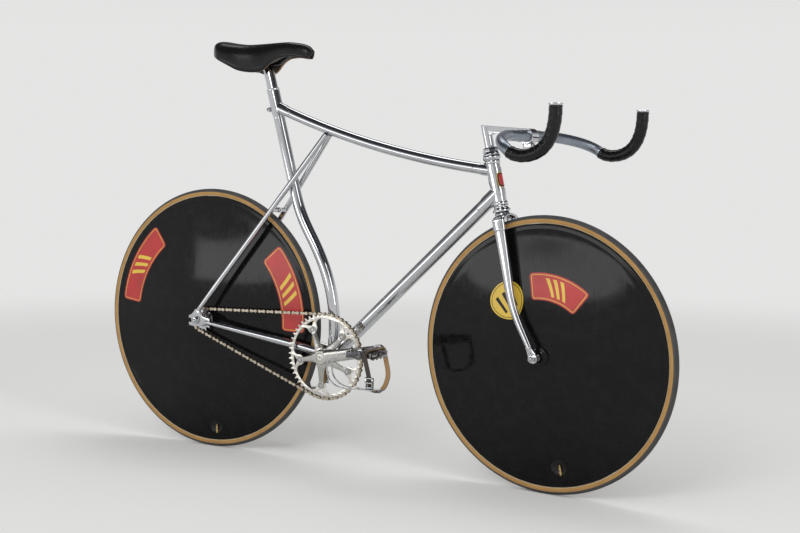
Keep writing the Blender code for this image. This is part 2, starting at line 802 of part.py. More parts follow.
def blade_point(along):
    """The right blade's middle line: straight beside the axis, then bent forward to the axle."""
    lead = 0.005
    if along >= BEND_START:
        forward = lead
    elif along <= BEND_END:
        forward = lead + (FORK_RAKE - lead) * (BEND_KNEE - along) / BEND_KNEE
    else:
        share = (BEND_START - along) / (BEND_START - BEND_END)
        forward = lead + (FORK_RAKE - lead) * (BEND_KNEE - BEND_END) / BEND_KNEE * share * share
    top = CROWN_UNDER
    tip_y = FRONT_SPACING / 2 + FORK_TIP / 2
    out = BLADE_SPREAD + (tip_y - BLADE_SPREAD) * (1 - along / top)
    return on_axis(along) + ahead * forward - Y * out


def fork_blade():
    """An oval blade that tapers and rounds out, with the tip plate fused at its end."""
    bend = BEND_START - BEND_END
    stations = [CROWN_UNDER + 0.0045, CROWN_UNDER - 0.065, BEND_START]
    stations += [BEND_START - bend * s for s in (0.24, 0.49, 0.75)] + [BEND_END, BEND_END - 0.030, 0.016]
    line = [blade_point(s) for s in stations]
    radii = []
    for s in stations:
        share = min(max(s / CROWN_UNDER, 0), 1)
        radii.append((0.0052 + (BLADE_WIDTH - 0.0052) * share**0.8, 0.0062 + (BLADE_DEPTH - 0.0062) * share))
    pipe = tube(line, radii, 10)
    face = FRONT_SPACING / 2
    way = (blade_point(0.02) - blade_point(0.05)).normalized()
    lift = -Vector((way.x, 0, way.z)).normalized()
    across = lift.cross(Y)
    tab = []
    for i in range(7):
        a = pi + pi * i / 6
        tab.append((0.0105 * cos(a), 0.0105 * sin(a)))
    tab += [(0.0072, 0.030), (-0.0072, 0.030)]
    plate = prism(tab, face, face + FORK_TIP, Vector((front_axle.x, 0, front_axle.z)), across, lift)
    if plate[0][0].y > 0:
        plate = mirrored(plate)
    whole = joined(pipe, plate)
    hole = turned([(AXLE + GAP, -0.08), (AXLE + GAP, 0.08)], front_axle, Y, 12)
    return cut(whole, hole)


blade = fork_blade()
solid("fork_blade_right", blade, "chrome", "fork")
solid("fork_blade_left", mirrored(blade), "chrome", "fork")


def fork_crown():
    """A sloping crown with a socket over each blade, the crown race and the hollow steerer."""
    low = CROWN_UNDER + 0.0050
    rings = []
    for y in (-1, -0.8, -0.45, 0.45, 0.8, 1):
        half = BLADE_SPREAD + BLADE_WIDTH + 0.0015
        drop = 0.0035 if abs(y) > 0.7 else 0
        depth = BLADE_DEPTH + (0.0012 if abs(y) < 0.9 else -0.004)
        bottom = low - (0.0035 if abs(y) > 0.7 else 0)
        top = CROWN_RACE - drop - (0.003 if abs(y) > 0.9 else 0)
        centre = foot_of_axis + ahead * 0.005 + Y * (y * half)
        rings.append([
            centre + ahead * depth + steering * (bottom + 0.003),
            centre + ahead * (depth * 0.8) + steering * bottom,
            centre - ahead * (depth * 0.8) + steering * bottom,
            centre - ahead * depth + steering * (bottom + 0.003),
            centre - ahead * (depth * 0.9) + steering * top,
            centre + ahead * (depth * 0.9) + steering * top,
        ])
    bar = loft(rings)
    race = turned(
        [(0.0165, CROWN_RACE - 0.004), (0.0165, CROWN_RACE + 0.001), (0.0150, CROWN_RACE + 0.003)],
        foot_of_axis, steering, 14, hint=Y,
    )
    pipe = rod(on_axis(CROWN_RACE - 0.006), on_axis(STACK_TOP - 0.003), STEERER, 14, Y)
    bore = rod(on_axis(CROWN_RACE + 0.006), on_axis(STACK_TOP + 0.020), STEERER_BORE, 14, Y)
    stations = [CROWN_UNDER + 0.0045, CROWN_UNDER - 0.015, CROWN_UNDER - 0.065]
    line = [blade_point(s) for s in stations]
    pockets = tube(line, [(BLADE_WIDTH + GAP, BLADE_DEPTH + GAP)] * 3, 10)
    lifted = steering * GAP
    pockets = [p + lifted for p in pockets[0]], pockets[1]
    return cut(joined(bar, race, pipe), bore, pockets, mirrored(pockets))


solid("fork_crown", fork_crown(), "chrome", "fork")
solid("front_axle", axle(FRONT_SPACING, FRONT_HUB_HALF, FORK_TIP, front_axle), "steel", "fork")
for word, side in (("right", -1), ("left", 1)):
    solid("front_axle_nut_" + word, nut(side, FRONT_SPACING / 2 + FORK_TIP + GAP, front_axle), "chrome", "fork")

# Wheels


def wheel(name, centre, radius, hub_half):
    """A tubular tyre, a hollow-sided disc and a hub, each turned about the axle."""
    bed = radius - TYRE_WIDTH / 2 - 0.0072
    half = TYRE_WIDTH / 2
    section = []
    for i in range(6):
        a = radians(-131 + 262 * i / 5)
        section.append((radius - half + half * cos(a), half * sin(a)))
    tyre = turned(section, centre, Y, 40, bore=True)
    solid(name + "_tyre", tyre, "tyre_tan", name + "_wheel")
    rim = bed - GAP
    side = RIM_WIDTH / 2
    sides = [(rim, side), (rim - RIM_DEPTH, side + 0.0006)]
    for i in range(1, 3):
        share = i / 2
        r = rim - RIM_DEPTH + (HUB_FLANGE + 0.012 - rim + RIM_DEPTH) * share
        sides.append((r, side + 0.0006 + DISC_BULGE * sin(share * pi / 2) ** 1.2))
    flat = side + 0.0006 + DISC_BULGE
    bore = HUB_SHELL + GAP
    sides.append((bore, flat))
    profile = sides + [(r, -y) for r, y in reversed(sides)]
    solid(name + "_disc", turned(profile, centre, Y, 40, bore=True), "black_disc", name + "_wheel")
    out = flat + GAP
    half_hub = [
        (HUB_SHELL, out), (HUB_FLANGE, out), (HUB_FLANGE, out + 0.0028), (0.0110, out + 0.0060),
        (0.0110, hub_half),
    ]
    mirror = [(r, -y) for r, y in half_hub]
    inner = AXLE + BEARING
    profile = [(inner, -hub_half), *reversed(mirror), *half_hub, (inner, hub_half)]
    solid(name + "_hub", turned(profile, centre, Y, 14, bore=True), "polished_alloy", name + "_wheel")
    return flat


wheel("front", front_axle, FRONT_RADIUS, FRONT_HUB_HALF)
wheel("rear", rear_axle, REAR_RADIUS, REAR_HUB_HALF)

# Transmission: the chain's joints lie on both pitch circles and on the two tangents between them.

chain_middle = Vector((0, -CHAINLINE, 0))
back_way = (rear_axle - bb).normalized()
up_way = Vector((-back_way.z, 0, back_way.x))
up_way = up_way if up_way.z > 0 else -up_way
contact = acos((RING_RADIUS - COG_RADIUS) / CENTRES)
RUN_LENGTH = CENTRES * sin(contact) / PITCH
RING_WRAP = (2 * pi - 2 * contact) * RING_TEETH / (2 * pi)
COG_WRAP = 2 * contact * COG_TEETH / (2 * pi)


def radial(angle):
    """The direction at an angle from the line to the rear axle, turned up and over to the front."""
    return back_way * cos(angle) + up_way * sin(angle)


def chain_place(link):
    """The point, the direction and the outward normal of the chain at a number of links from its start."""
    s = link % CHAIN_LINKS
    if s <= RUN_LENGTH:
        outward = radial(contact)
        start = bb + outward * RING_RADIUS
        end = rear_axle + outward * COG_RADIUS
        return start.lerp(end, s / RUN_LENGTH), (end - start).normalized(), outward
    s -= RUN_LENGTH
    if s <= COG_WRAP:
        a = contact - s * 2 * pi / COG_TEETH
        return rear_axle + radial(a) * COG_RADIUS, -radial(a + pi / 2), radial(a)
    s -= COG_WRAP
    if s <= RUN_LENGTH:
        outward = radial(-contact)
        start = rear_axle + outward * COG_RADIUS
        end = bb + outward * RING_RADIUS
        return start.lerp(end, s / RUN_LENGTH), (end - start).normalized(), outward
    s -= RUN_LENGTH
    a = -contact - s * 2 * pi / RING_TEETH
    return bb + radial(a) * RING_RADIUS, -radial(a + pi / 2), radial(a)


def chain():
    """One closed ladder: a side plate's height and both laps' width all along, and a roller at each joint."""
    inside = LINK_INSIDE / 2
    points = []
    faces = []

    def station(at, outward, half_height, low, high):
        start = len(points)
        for side in (-1, 1):
            for y, h in ((low, 1), (high, 1), (high, -1), (low, -1)):
                points.append(at + outward * (h * half_height) + chain_middle + Y * (side * y))
        return start

    rows = []
    for i in range(CHAIN_LINKS):
        here, along, outward = chain_place(i)
        lapped = inside + 2 * LINK_PLATE
        a = station(here - along * (ROLLER / 2), outward, LINK_HEIGHT / 2, inside, lapped)
        b = station(here + along * (ROLLER / 2), outward, LINK_HEIGHT / 2, inside, lapped)
        rows += [a, b]
    for i, here in enumerate(rows):
        after = rows[(i + 1) % len(rows)]
        for side in (0, 4):
            for j in range(4):
                k = (j + 1) % 4
                if i % 2 == 0 and j == 3:
                    continue
                faces.append((here + side + j, here + side + k, after + side + k, after + side + j))
        if i % 2 == 0:
            loop_right = [here, after, after + 3, here + 3]
            loop_left = [v + 4 for v in loop_right]
            for j in range(4):
                k = (j + 1) % 4
                faces.append((loop_right[j], loop_right[k], loop_left[k], loop_left[j]))
    return points, faces


solid("chain", chain(), "chain_steel", "frame")


def toothed(teeth, radius, start):
    """The outline of a wheel of teeth, each tooth midway between two of the chain's rollers."""
    root = radius - LINK_HEIGHT / 2 - GAP
    tip = radius + 0.0032
    half = pi * root / teeth - ROLLER / 2 - GAP
    found = []
    for i in range(teeth):
        a = start + (i + 0.5) * 2 * pi / teeth
        for r, w in ((root, half), (tip, 0.0010), (tip, -0.0010), (root, -half)):
            found.append((r * cos(a - w / r), r * sin(a - w / r)))
    return found


cog_start = contact + RUN_LENGTH * 2 * pi / COG_TEETH
cog_bore = [(0.0118 * cos(2 * pi * i / 14), 0.0118 * sin(2 * pi * i / 14)) for i in range(14)]
cog = prism(
    toothed(COG_TEETH, COG_RADIUS, cog_start), -TOOTH_WIDTH / 2, TOOTH_WIDTH / 2,
    rear_axle + chain_middle, back_way, up_way, [cog_bore],
)
solid("track_cog", cog, "steel", "rear_wheel")
COG_OUT = CHAINLINE + TOOTH_WIDTH / 2
lockring = ring(0.0118, 0.0165, COG_OUT + GAP, COG_OUT + 0.0032, rear_axle, -Y, 14)
solid("cog_lockring", lockring, "steel", "rear_wheel")

# Crankset: the arm lies between two of the spider's five arms.

crank_angle = radians(CRANK_REST)
arm_way = Vector((cos(crank_angle), 0, sin(crank_angle)))
arm_up = Vector((-sin(crank_angle), 0, cos(crank_angle)))
TAB_IN = CHAINLINE + TOOTH_WIDTH / 2 + GAP
TAB_OUT = TAB_IN + 0.0042
BOSS_IN = 0.0505
BOSS_OUT = 0.0665
EYE_OUT = Q_FACTOR / 2 + 0.0075
EYE_IN = EYE_OUT - 0.0130


def bar_between(sections, way, up):
    """A tapered bar from sections of (distance, half width, inner, outer), with rounded outer edges."""
    rings = []
    for reach, half, low, high in sections:
        bevel = min(half, high - low) * 0.35
        ring_points = []
        for w, y in (
            (half, low), (half, high - bevel), (half - bevel, high),
            (-half + bevel, high), (-half, high - bevel), (-half, low),
        ):
            ring_points.append(bb + way * reach + up * w - Y * y)
        rings.append(ring_points)
    return loft(rings)


def crank_arm(spider):
    """The right arm; the left one is its mirror image without a spider, half a turn away."""
    arm = bar_between(
        [
            (0, 0.0140, BOSS_IN + 0.001, BOSS_OUT - 0.001), (0.040, 0.0120, 0.0525, 0.0665),
            (0.120, 0.0102, EYE_IN - 0.001, EYE_OUT - 0.0015), (CRANK_LENGTH, 0.0095, EYE_IN, EYE_OUT - 0.0005),
        ],
        arm_way, arm_up,
    )
    eye = bb + arm_way * CRANK_LENGTH
    pieces = [
        turned([(0.0172, BOSS_IN), (0.0172, BOSS_OUT - 0.002), (0.0150, BOSS_OUT)], bb, -Y, 16),
        turned([(0.0128, EYE_IN), (0.0128, EYE_OUT - 0.001), (0.0115, EYE_OUT)], eye, -Y, 12),
    ]
    cutters = [
        turned([(SPINDLE + GAP, BOSS_IN - 0.01), (SPINDLE + GAP, BOSS_IN + 0.0105)], bb, -Y, 12),
        turned([(0.0090, BOSS_OUT - 0.0012), (0.0090, BOSS_OUT + 0.01)], bb, -Y, 12),
        turned([(PEDAL_AXLE + GAP, EYE_IN - 0.01), (PEDAL_AXLE + GAP, EYE_OUT + 0.01)], eye, -Y, 10),
    ]
    if spider:
        pieces.append(turned([(0.0180, BOSS_IN - 0.0008), (0.0180, BOSS_IN + 0.0015)], bb, -Y, 16))
        for k in range(5):
            a = crank_angle + radians(36 + 72 * k)
            way = Vector((cos(a), 0, sin(a)))
            up = Vector((-sin(a), 0, cos(a)))
            pieces.append(bar_between(
                [
                    (0.004, 0.0105, BOSS_IN + 0.0005, BOSS_IN + 0.0100), (0.040, 0.0065, 0.0475, 0.0550),
                    (BOLT_CIRCLE - 0.012, 0.0060, TAB_IN + 0.0004, TAB_OUT - 0.0002),
                    (BOLT_CIRCLE, 0.0062, TAB_IN + 0.0003, TAB_OUT - 0.0003),
                ],
                way, up,
            ))
            at = bb + way * BOLT_CIRCLE
            pieces.append(turned([(0.0080, TAB_IN), (0.0080, TAB_OUT)], at, -Y, 8))
            cutters.append(turned([(0.0050 + GAP, TAB_IN - 0.01), (0.0050 + GAP, TAB_OUT + 0.01)], at, -Y, 8))
    return cut(joined(arm, *pieces), *cutters)


HALF_TURN = Matrix.Translation(bb) @ Matrix.Rotation(pi, 4, "Y") @ Matrix.Translation(-bb)
solid("crank_right", crank_arm(True), "polished_alloy", "crankset")
solid("crank_left", moved(mirrored(crank_arm(False)), HALF_TURN), "polished_alloy", "crankset")
spindle_end = BOSS_IN + 0.0102
spindle = turned([(SPINDLE, -spindle_end), (SPINDLE, spindle_end)], bb, Y, 12)
solid("bb_spindle", spindle, "steel", "crankset")


def chainring():
    """The toothed ring, its five bolt tabs with a window each side of the bolt, and the bolts."""
    outer = toothed(RING_TEETH, RING_RADIUS, contact)
    lead = atan2(up_way.dot(arm_way), back_way.dot(arm_way))
    body_in = 0.0845
    tab_in = BOLT_CIRCLE - 0.0075
    inner = []
    windows = []
    for k in range(5):
        middle = lead + radians(36 + 72 * k)
        for turn, r in (
            (-36, body_in), (-28, body_in), (-21, body_in - 0.0012), (-12, BOLT_CIRCLE - 0.001), (-6, tab_in),
            (6, tab_in), (12, BOLT_CIRCLE - 0.001), (21, body_in - 0.0012), (28, body_in),
        ):
            a = middle + radians(turn)
            inner.append((r * cos(a), r * sin(a)))
        for way in (-1, 1):
            corners = ((8.0, 0.0755), (16.0, 0.0862), (4.0, 0.0868), (4.0, 0.0830))
            window = []
            for turn, r in corners:
                a = middle + way * radians(turn)
                window.append((r * cos(a), r * sin(a)))
            windows.append(window)
    plate = prism(
        outer, -TOOTH_WIDTH / 2, TOOTH_WIDTH / 2, bb + chain_middle, back_way, up_way, [inner, *windows],
    )
    bolts = []
    for k in range(5):
        a = crank_angle + radians(36 + 72 * k)
        at = bb + Vector((cos(a), 0, sin(a))) * BOLT_CIRCLE
        low = CHAINLINE - TOOTH_WIDTH / 2
        bolts.append(turned(
            [(0.0050, low + 0.0005), (0.0050, TAB_OUT + GAP), (0.0066, TAB_OUT + GAP), (0.0062, TAB_OUT + 0.0016)],
            at, -Y, 8,
        ))
    return joined(plate, *bolts)


solid("chainring", chainring(), "polished_alloy", "crankset")

# Pedals: built upright about the spindle, then hung upside down as the clip's weight turns them.


CAGE_IN = EYE_OUT + 0.0095
CAGE_OUT = CAGE_IN + CAGE_WIDTH
CAGE_MIDDLE = (CAGE_IN + CAGE_OUT) / 2


def pedal_body():
    """The barrel, two notched cage plates and the cross-bars, for the right pedal at zero."""
    barrel = turned(
        [
            (PEDAL_BARREL, CAGE_IN - 0.004), (PEDAL_BARREL, CAGE_IN + 0.010), (PEDAL_BARREL - 0.0015, CAGE_IN + 0.014),
            (PEDAL_BARREL - 0.0015, CAGE_OUT - 0.014), (PEDAL_BARREL, CAGE_OUT - 0.010), (PEDAL_BARREL, CAGE_OUT + 0.002),
        ],
        Vector(), -Y, 12,
    )
    pieces = []
    half = CAGE_HEIGHT / 2
    for way in (-1, 1):
        notches = []
        count = 6
        for i in range(count):
            y = CAGE_IN + 0.006 + (CAGE_WIDTH - 0.012) * i / (count - 1)
            step = (CAGE_WIDTH - 0.012) / (count - 1) / 4
            high = half if i % 2 else half - 0.003
            notches += [(y - step, high), (y + step, high)]
        outline = [(CAGE_IN, -half + 0.004), (CAGE_IN, half - 0.006), *notches, (CAGE_OUT, half - 0.006)]
        outline += [(CAGE_OUT, -half + 0.004), (CAGE_OUT - 0.006, -half), (CAGE_IN + 0.006, -half)]
        inside = CAGE_LENGTH / 2 - CAGE_SHEET
        low, high = (inside, inside + CAGE_SHEET) if way > 0 else (-inside - CAGE_SHEET, -inside)
        pieces.append(prism([(-y, z) for y, z in outline], low, high, Vector(), Y, Z))
    for low, high in ((CAGE_IN + 0.001, CAGE_IN + 0.0055), (CAGE_OUT - 0.0055, CAGE_OUT - 0.001)):
        reach = CAGE_LENGTH / 2 - 0.001
        pieces.append(block(Vector((-reach, -high, -0.0050)), Vector((reach, -low, 0.0050))))
    bore = turned([(PEDAL_AXLE + BEARING, 0), (PEDAL_AXLE + BEARING, CAGE_OUT - 0.008)], Vector(), -Y, 12)
    return cut(joined(barrel, *pieces), bore)


def clip_path():
    """The toe clip's side line, from the front plate forward, up and back over the toes."""
    front = CAGE_LENGTH / 2 + GAP
    start = Vector((front + 0.0008, 0, 0.004))
    nose = Vector((front + CLIP_REACH, 0, CLIP_NOSE))
    line = [start, start + X * CLIP_FOOT + Z * 0.001]
    line += bezier(line[-1], line[-1] + X * CLIP_FLOOR, nose - Z * CLIP_NOSE_LOW, nose, 3)
    top = Vector((front + CLIP_FOOT, 0, CLIP_HEIGHT))
    line += bezier(nose, nose + Z * CLIP_NOSE_HIGH, top + X * CLIP_ROOF, top, 4)
    line.append(Vector((-GUIDE_START, 0, CLIP_HEIGHT - 0.002)))
    line.append(Vector((-GUIDE_END, 0, CLIP_HEIGHT - 0.002)))
    return line


def toe_clip():
    """Two sprung steel legs from a foot plate to the strap guide over the toes."""
    line = clip_path()
    thick = CLIP_STEEL
    legs = []
    for side in (-1, 1):
        leg = []
        for i, p in enumerate(line):
            spread = CLIP_SPREAD if 1 <= i <= len(line) - 3 else CLIP_SPREAD - 0.0025
            leg.append(p + Y * (side * spread - CAGE_MIDDLE))
        legs.append(strip(leg, [CLIP_LEG] * len(leg), thick))
    front = CAGE_LENGTH / 2 + GAP
    middle = Vector((0, -CAGE_MIDDLE, 0))
    foot = block(middle + Vector((front, -0.014, -0.009)), middle + Vector((front + 0.0020, 0.014, 0.0055)))
    tail = [p + middle for p in line[-3:]]
    guide = strip(tail, [GUIDE_WIDTH] * len(tail), thick)
    end = line[-1].lerp(line[-2], 0.5) + middle
    over = block(end + Vector((-0.0092, -0.0030, 0.0048)), end + Vector((0.0092, 0.0030, 0.0064)))
    posts = []
    for x in (-0.0080, 0.0080):
        corner = end + X * x
        posts.append(block(corner + Vector((-0.0009, -0.0026, -0.0006)), corner + Vector((0.0009, 0.0026, 0.0056))))
    return joined(foot, *legs, guide, over, *posts)


def toe_strap():
    """A leather band round the barrel's underside and through the guide, with its buckle outside."""
    under = -PEDAL_BARREL - GAP - STRAP_THICKNESS / 2
    tail = clip_path()
    guide = tail[-1].lerp(tail[-2], 0.5)
    over = guide.z + CLIP_STEEL / 2 + GAP + STRAP_THICKNESS / 2
    near = CAGE_IN - 0.0045
    far = CAGE_OUT + 0.0055
    lean = guide.x
    side_low = -0.020
    corners = [
        Vector((side_low, -CAGE_MIDDLE, under)), Vector((side_low, -near - 0.010, under)),
        Vector((side_low, -near - 0.002, under + 0.003)), Vector((side_low - 0.001, -near, under + 0.011)),
        Vector((lean - 0.002, -near - 0.001, STRAP_WAIST)), Vector((lean - 0.002, -near - 0.006, STRAP_BEND)),
        Vector((lean, -near - 0.016, STRAP_SHOULDER)), Vector((lean, -CAGE_MIDDLE + 0.012, over)),
        Vector((lean, -CAGE_MIDDLE - 0.012, over)), Vector((lean, -far + 0.016, STRAP_SHOULDER)),
        Vector((lean - 0.002, -far + 0.006, STRAP_BEND)), Vector((lean - 0.002, -far + 0.001, STRAP_WAIST)),
        Vector((side_low - 0.001, -far, under + 0.011)), Vector((side_low, -far + 0.002, under + 0.003)),
        Vector((side_low, -far + 0.010, under)), Vector((side_low, -CAGE_MIDDLE, under)),
    ]
    band = strip(corners, [STRAP_WIDTH] * len(corners), STRAP_THICKNESS, X, closed=True)
    return band


SPIN = Matrix.Rotation(pi, 4, "Y")
for word, side in (("right", -1), ("left", 1)):
    eye = bb + arm_way * (CRANK_LENGTH * -side)
    place = Matrix.Translation(eye) @ SPIN
    name = "pedal_" + word
    body(name, Vector((eye.x, 0, eye.z)), "crankset")
    pin = turned(
        [
            (PEDAL_AXLE, EYE_IN + 0.001), (PEDAL_AXLE, EYE_OUT + GAP), (0.0082, EYE_OUT + GAP),
            (0.0082, EYE_OUT + 0.0035), (PEDAL_AXLE, EYE_OUT + 0.0045), (PEDAL_AXLE, CAGE_OUT - 0.0085),
        ],
        eye, -Y, 12,
    )
    parts = [pedal_body(), toe_clip(), toe_strap()]
    if side > 0:
        pin = moved(mirrored(moved(pin, Matrix.Translation(-eye))), Matrix.Translation(eye))
        parts = [mirrored(part) for part in parts]
    solid("pedal_axle_" + word, pin, "steel", "crankset")
    for label, part, look in zip(("pedal_body_", "toe_clip_", "toe_strap_"), parts, ("silver_alloy", "chrome", "strap_leather")):
        solid(label + word, moved(part, place), look, name)

# Stem and handlebar


def stem_geometry():
    slope = radians(STEM_SLOPE)
    way = Vector((cos(slope), 0, -sin(slope)))
    lift = Vector((sin(slope), 0, cos(slope)))
    top = on_axis(STACK_TOP + STEM_TOP)
    clamp = top + way * STEM_REACH - lift * (CLAMP - 0.001)
    return way, lift, top, clamp


stem_way, stem_lift, stem_top, clamp_at = stem_geometry()
body("stem", on_axis(HEAD_HIGH), "fork")
body("handlebar", clamp_at, "stem")


def stem():
    """The quill, the arm with a sunk panel each side, and the split clamp with its bolt ears."""
    low = circle(on_axis(HEAD_HIGH - 0.065), Y, ahead, QUILL, 16)
    high = []
    for p in circle(on_axis(STACK_TOP), Y, ahead, QUILL, 16):
        rise = (stem_top - p).dot(stem_lift) / steering.dot(stem_lift)
        high.append(p + steering * (rise + 0.004))
    quill = loft([low, high])
    outline = [(0, -STEM_DEPTH), (STEM_REACH, -STEM_DEPTH), (STEM_REACH, 0.002), (0, 0.002)]
    arm = prism(outline, -STEM_WIDTH / 2, STEM_WIDTH / 2, stem_top, stem_way, stem_lift)
    above = [(-0.05, 0), (STEM_REACH + 0.05, 0), (STEM_REACH + 0.05, 0.03), (-0.05, 0.03)]
    shaved = cut(joined(quill, arm), prism(above, -0.05, 0.05, stem_top, stem_way, stem_lift))
    gusset = prism(
        [(0.004, -STEM_DEPTH - 0.010), (0.020, -STEM_DEPTH + 0.001), (0.004, -STEM_DEPTH + 0.001)],
        -0.006, 0.006, stem_top, stem_way, stem_lift,
    )
    clamp = turned([(CLAMP, -CLAMP_WIDTH / 2), (CLAMP, CLAMP_WIDTH / 2)], clamp_at, Y, 16)
    ears = prism(
        [(-0.0085, -CLAMP - 0.0075), (0.0085, -CLAMP - 0.0075), (0.0085, 0), (-0.0085, 0)],
        -0.0075, 0.0075, clamp_at, X, Z,
    )
    whole = joined(shaved, gusset, clamp, ears)
    bore = turned([(BAR_SLEEVE + GAP, -CLAMP_WIDTH), (BAR_SLEEVE + GAP, CLAMP_WIDTH)], clamp_at, Y, 16)
    slit = block(clamp_at + Vector((-0.0007, -0.03, -0.04)), clamp_at + Vector((0.0007, 0.03, 0)))
    panels = []
    for side in (-1, 1):
        panel = [(0.020, -STEM_DEPTH + 0.0035), (0.082, -STEM_DEPTH + 0.0035), (0.082, -0.0035), (0.020, -0.0035)]
        low_y, high_y = sorted((side * (STEM_WIDTH / 2 - 0.0014), side * (STEM_WIDTH / 2 + 0.01)))
        panels.append(prism(panel, low_y, high_y, stem_top, stem_way, stem_lift))
    bolt_at = clamp_at - Z * (CLAMP + 0.0030)
    hole = rod(bolt_at - X * 0.03, bolt_at + X * 0.03, 0.0033, 12)
    socket_at = on_axis(STACK_TOP + STEM_TOP)
    socket = rod(socket_at - steering * 0.006, socket_at + steering * 0.01, 0.0058, 12)
    return cut(whole, bore, slit, *panels, hole, socket), bolt_at, socket_at


stem_shape, bolt_at, socket_at = stem()
solid("stem", stem_shape, "chrome", "stem")
clamp_bolt = joined(
    rod(bolt_at - X * 0.0105, bolt_at + X * 0.0105, 0.0030, 12),
    rod(bolt_at - X * 0.0125, bolt_at - X * 0.0088, 0.0052, 6),
    rod(bolt_at + X * 0.0088, bolt_at + X * 0.0125, 0.0052, 12),
)
solid("stem_clamp_bolt", clamp_bolt, "steel", "stem")
expander = cut(
    rod(socket_at - steering * 0.0057, socket_at - steering * 0.0008, 0.0055, 12),
    rod(socket_at - steering * 0.0040, socket_at + steering * 0.01, 0.0030, 6),
)
solid("stem_expander_bolt", expander, "steel", "stem")


def bar_half_line():
    """The right half's middle line: out from the clamp, forward and down, then up to the tip."""
    start = clamp_at
    corner = start - Y * BAR_STRAIGHT
    fall = radians(BAR_FALL_ANGLE)
    forward = Vector((cos(fall), 0, -sin(fall)))
    knee = start + Vector((BAR_FORWARD, -BAR_HALF_WIDTH, -BAR_FALL))
    line = [start, corner]
    line += bezier(corner, corner - Y * BAR_CORNER, knee - forward * BAR_SWEEP, knee, 5)
    bottom = knee + Vector((HORN_FORWARD, HORN_FLARE * 0.3, -HORN_FALL))
    line += bezier(knee, knee + forward * HORN_EASE, bottom - X * HORN_EASE, bottom, 2)
    tip = knee + Vector((HORN_REACH, HORN_FLARE, HORN_RISE))
    line += bezier(bottom, bottom + X * HORN_HOOK, tip - Z * HORN_UPRIGHT, tip, 7)
    return line, len(line) - 10


bar_line, tape_from = bar_half_line()
bar_frames = carried(bar_line, X)


def handlebar():
    """One bent tube with a sleeve at the clamp and a plug in each end."""
    sides = 8
    rings = []
    last = len(bar_frames) - 1
    for i, (point, along, across, up) in enumerate(bar_frames):
        if i == 0:
            continue
        if i == 1:
            for y, radius in ((0.0, BAR_SLEEVE), (SLEEVE_HALF, BAR_SLEEVE), (SLEEVE_HALF + SLEEVE_TAPER, BAR)):
                at = clamp_at - Y * y
                rings.append(circle(at, across, up, radius, sides))
        rings.append(circle(point, across, up, BAR, sides))
        if i == last:
            end = point + along * 0.001
            wide = BAR + TAPE_OUTER
            rings[-1] = circle(point + along * GAP, across, up, BAR, sides)
            rings.append(circle(point + along * (GAP + 0.0001), across, up, wide, sides))
            rings.append(circle(end + along * 0.0015, across, up, wide, sides))
            rings.append(circle(end + along * 0.0035, across, up, wide * 0.7, sides))
    other = [[Vector((p.x, -p.y, p.z)) for p in one] for one in rings[1:]]
    return loft([*reversed(rings), *other])


def bar_tape(side):
    """Tape wound in a lapped spiral over the bar, each turn's edge standing on the turn before."""
    sides = 8
    frames = bar_frames[tape_from:]
    lengths = [0]
    for a, b in zip(frames, frames[1:]):
        lengths.append(lengths[-1] + (b[0] - a[0]).length)
    turns = int(lengths[-1] / TAPE_PITCH)
    pitch = lengths[-1] / turns
    inner = BAR + GAP
    low, high = inner + TAPE_INNER, inner + TAPE_OUTER

    def place(s, angle, radius):
        j = max(k for k in range(len(frames) - 1) if lengths[k] <= s + 1e-9)
        share = min((s - lengths[j]) / (lengths[j + 1] - lengths[j]), 1)
        point = frames[j][0].lerp(frames[j + 1][0], share)
        across = frames[j][2].lerp(frames[j + 1][2], share).normalized()
        up = frames[j][3].lerp(frames[j + 1][3], share).normalized()
        return point + across * (radius * cos(angle)) + up * (radius * sin(angle))

    total = turns * sides
    points = []
    angle = lambda k: 2 * pi * (k + 0.5) / sides
    for k in range(total + 1):
        points.append(place(pitch * k / sides, angle(k), low))
    for k in range(total + 1):
        points.append(place(pitch * k / sides, angle(k), high))
    upper = total + 1
    faces = []
    for k in range(total - sides):
        faces.append((k, k + 1, upper + k + sides + 1, upper + k + sides))
    for k in range(sides, total - sides):
        faces.append((k, upper + k, upper + k + 1, k + 1))
    inner_start = len(points)
    for s in lengths:
        for j in range(sides):
            points.append(place(s, angle(j), inner))
    for i in range(len(lengths) - 1):
        for j in range(sides):
            a = inner_start + i * sides
            k = (j + 1) % sides
            faces.append((a + j, a + sides + j, a + sides + k, a + k))
    for j in range(sides):
        k = (j + 1) % sides
        faces.append((j, inner_start + j, inner_start + k, j + 1))
    faces.append((0, upper + sides, sides, inner_start))
    last = inner_start + (len(lengths) - 1) * sides
    first = total - sides
    for j in range(sides):
        k = (j + 1) % sides
        faces.append((upper + first + j, upper + first + j + 1, last + k, last + j))
    faces.append((upper + first, last, upper + total, first))
    used = sorted({i for face in faces for i in face})
    order = {old: new for new, old in enumerate(used)}
    shape = [points[i] for i in used], [tuple(order[i] for i in face) for face in faces]
    return shape if side < 0 else mirrored(shape)


solid("handlebar", handlebar(), "silver_alloy", "handlebar")
solid("bar_tape_right", bar_tape(-1), "black_tape", "handlebar")
solid("bar_tape_left", bar_tape(1), "black_tape", "handlebar")

# Seat post and saddle

clamp_point = seat_top + post_up * POST_SHOWN + Vector((-0.0061, 0, 0))
RAIL_Z = clamp_point.z


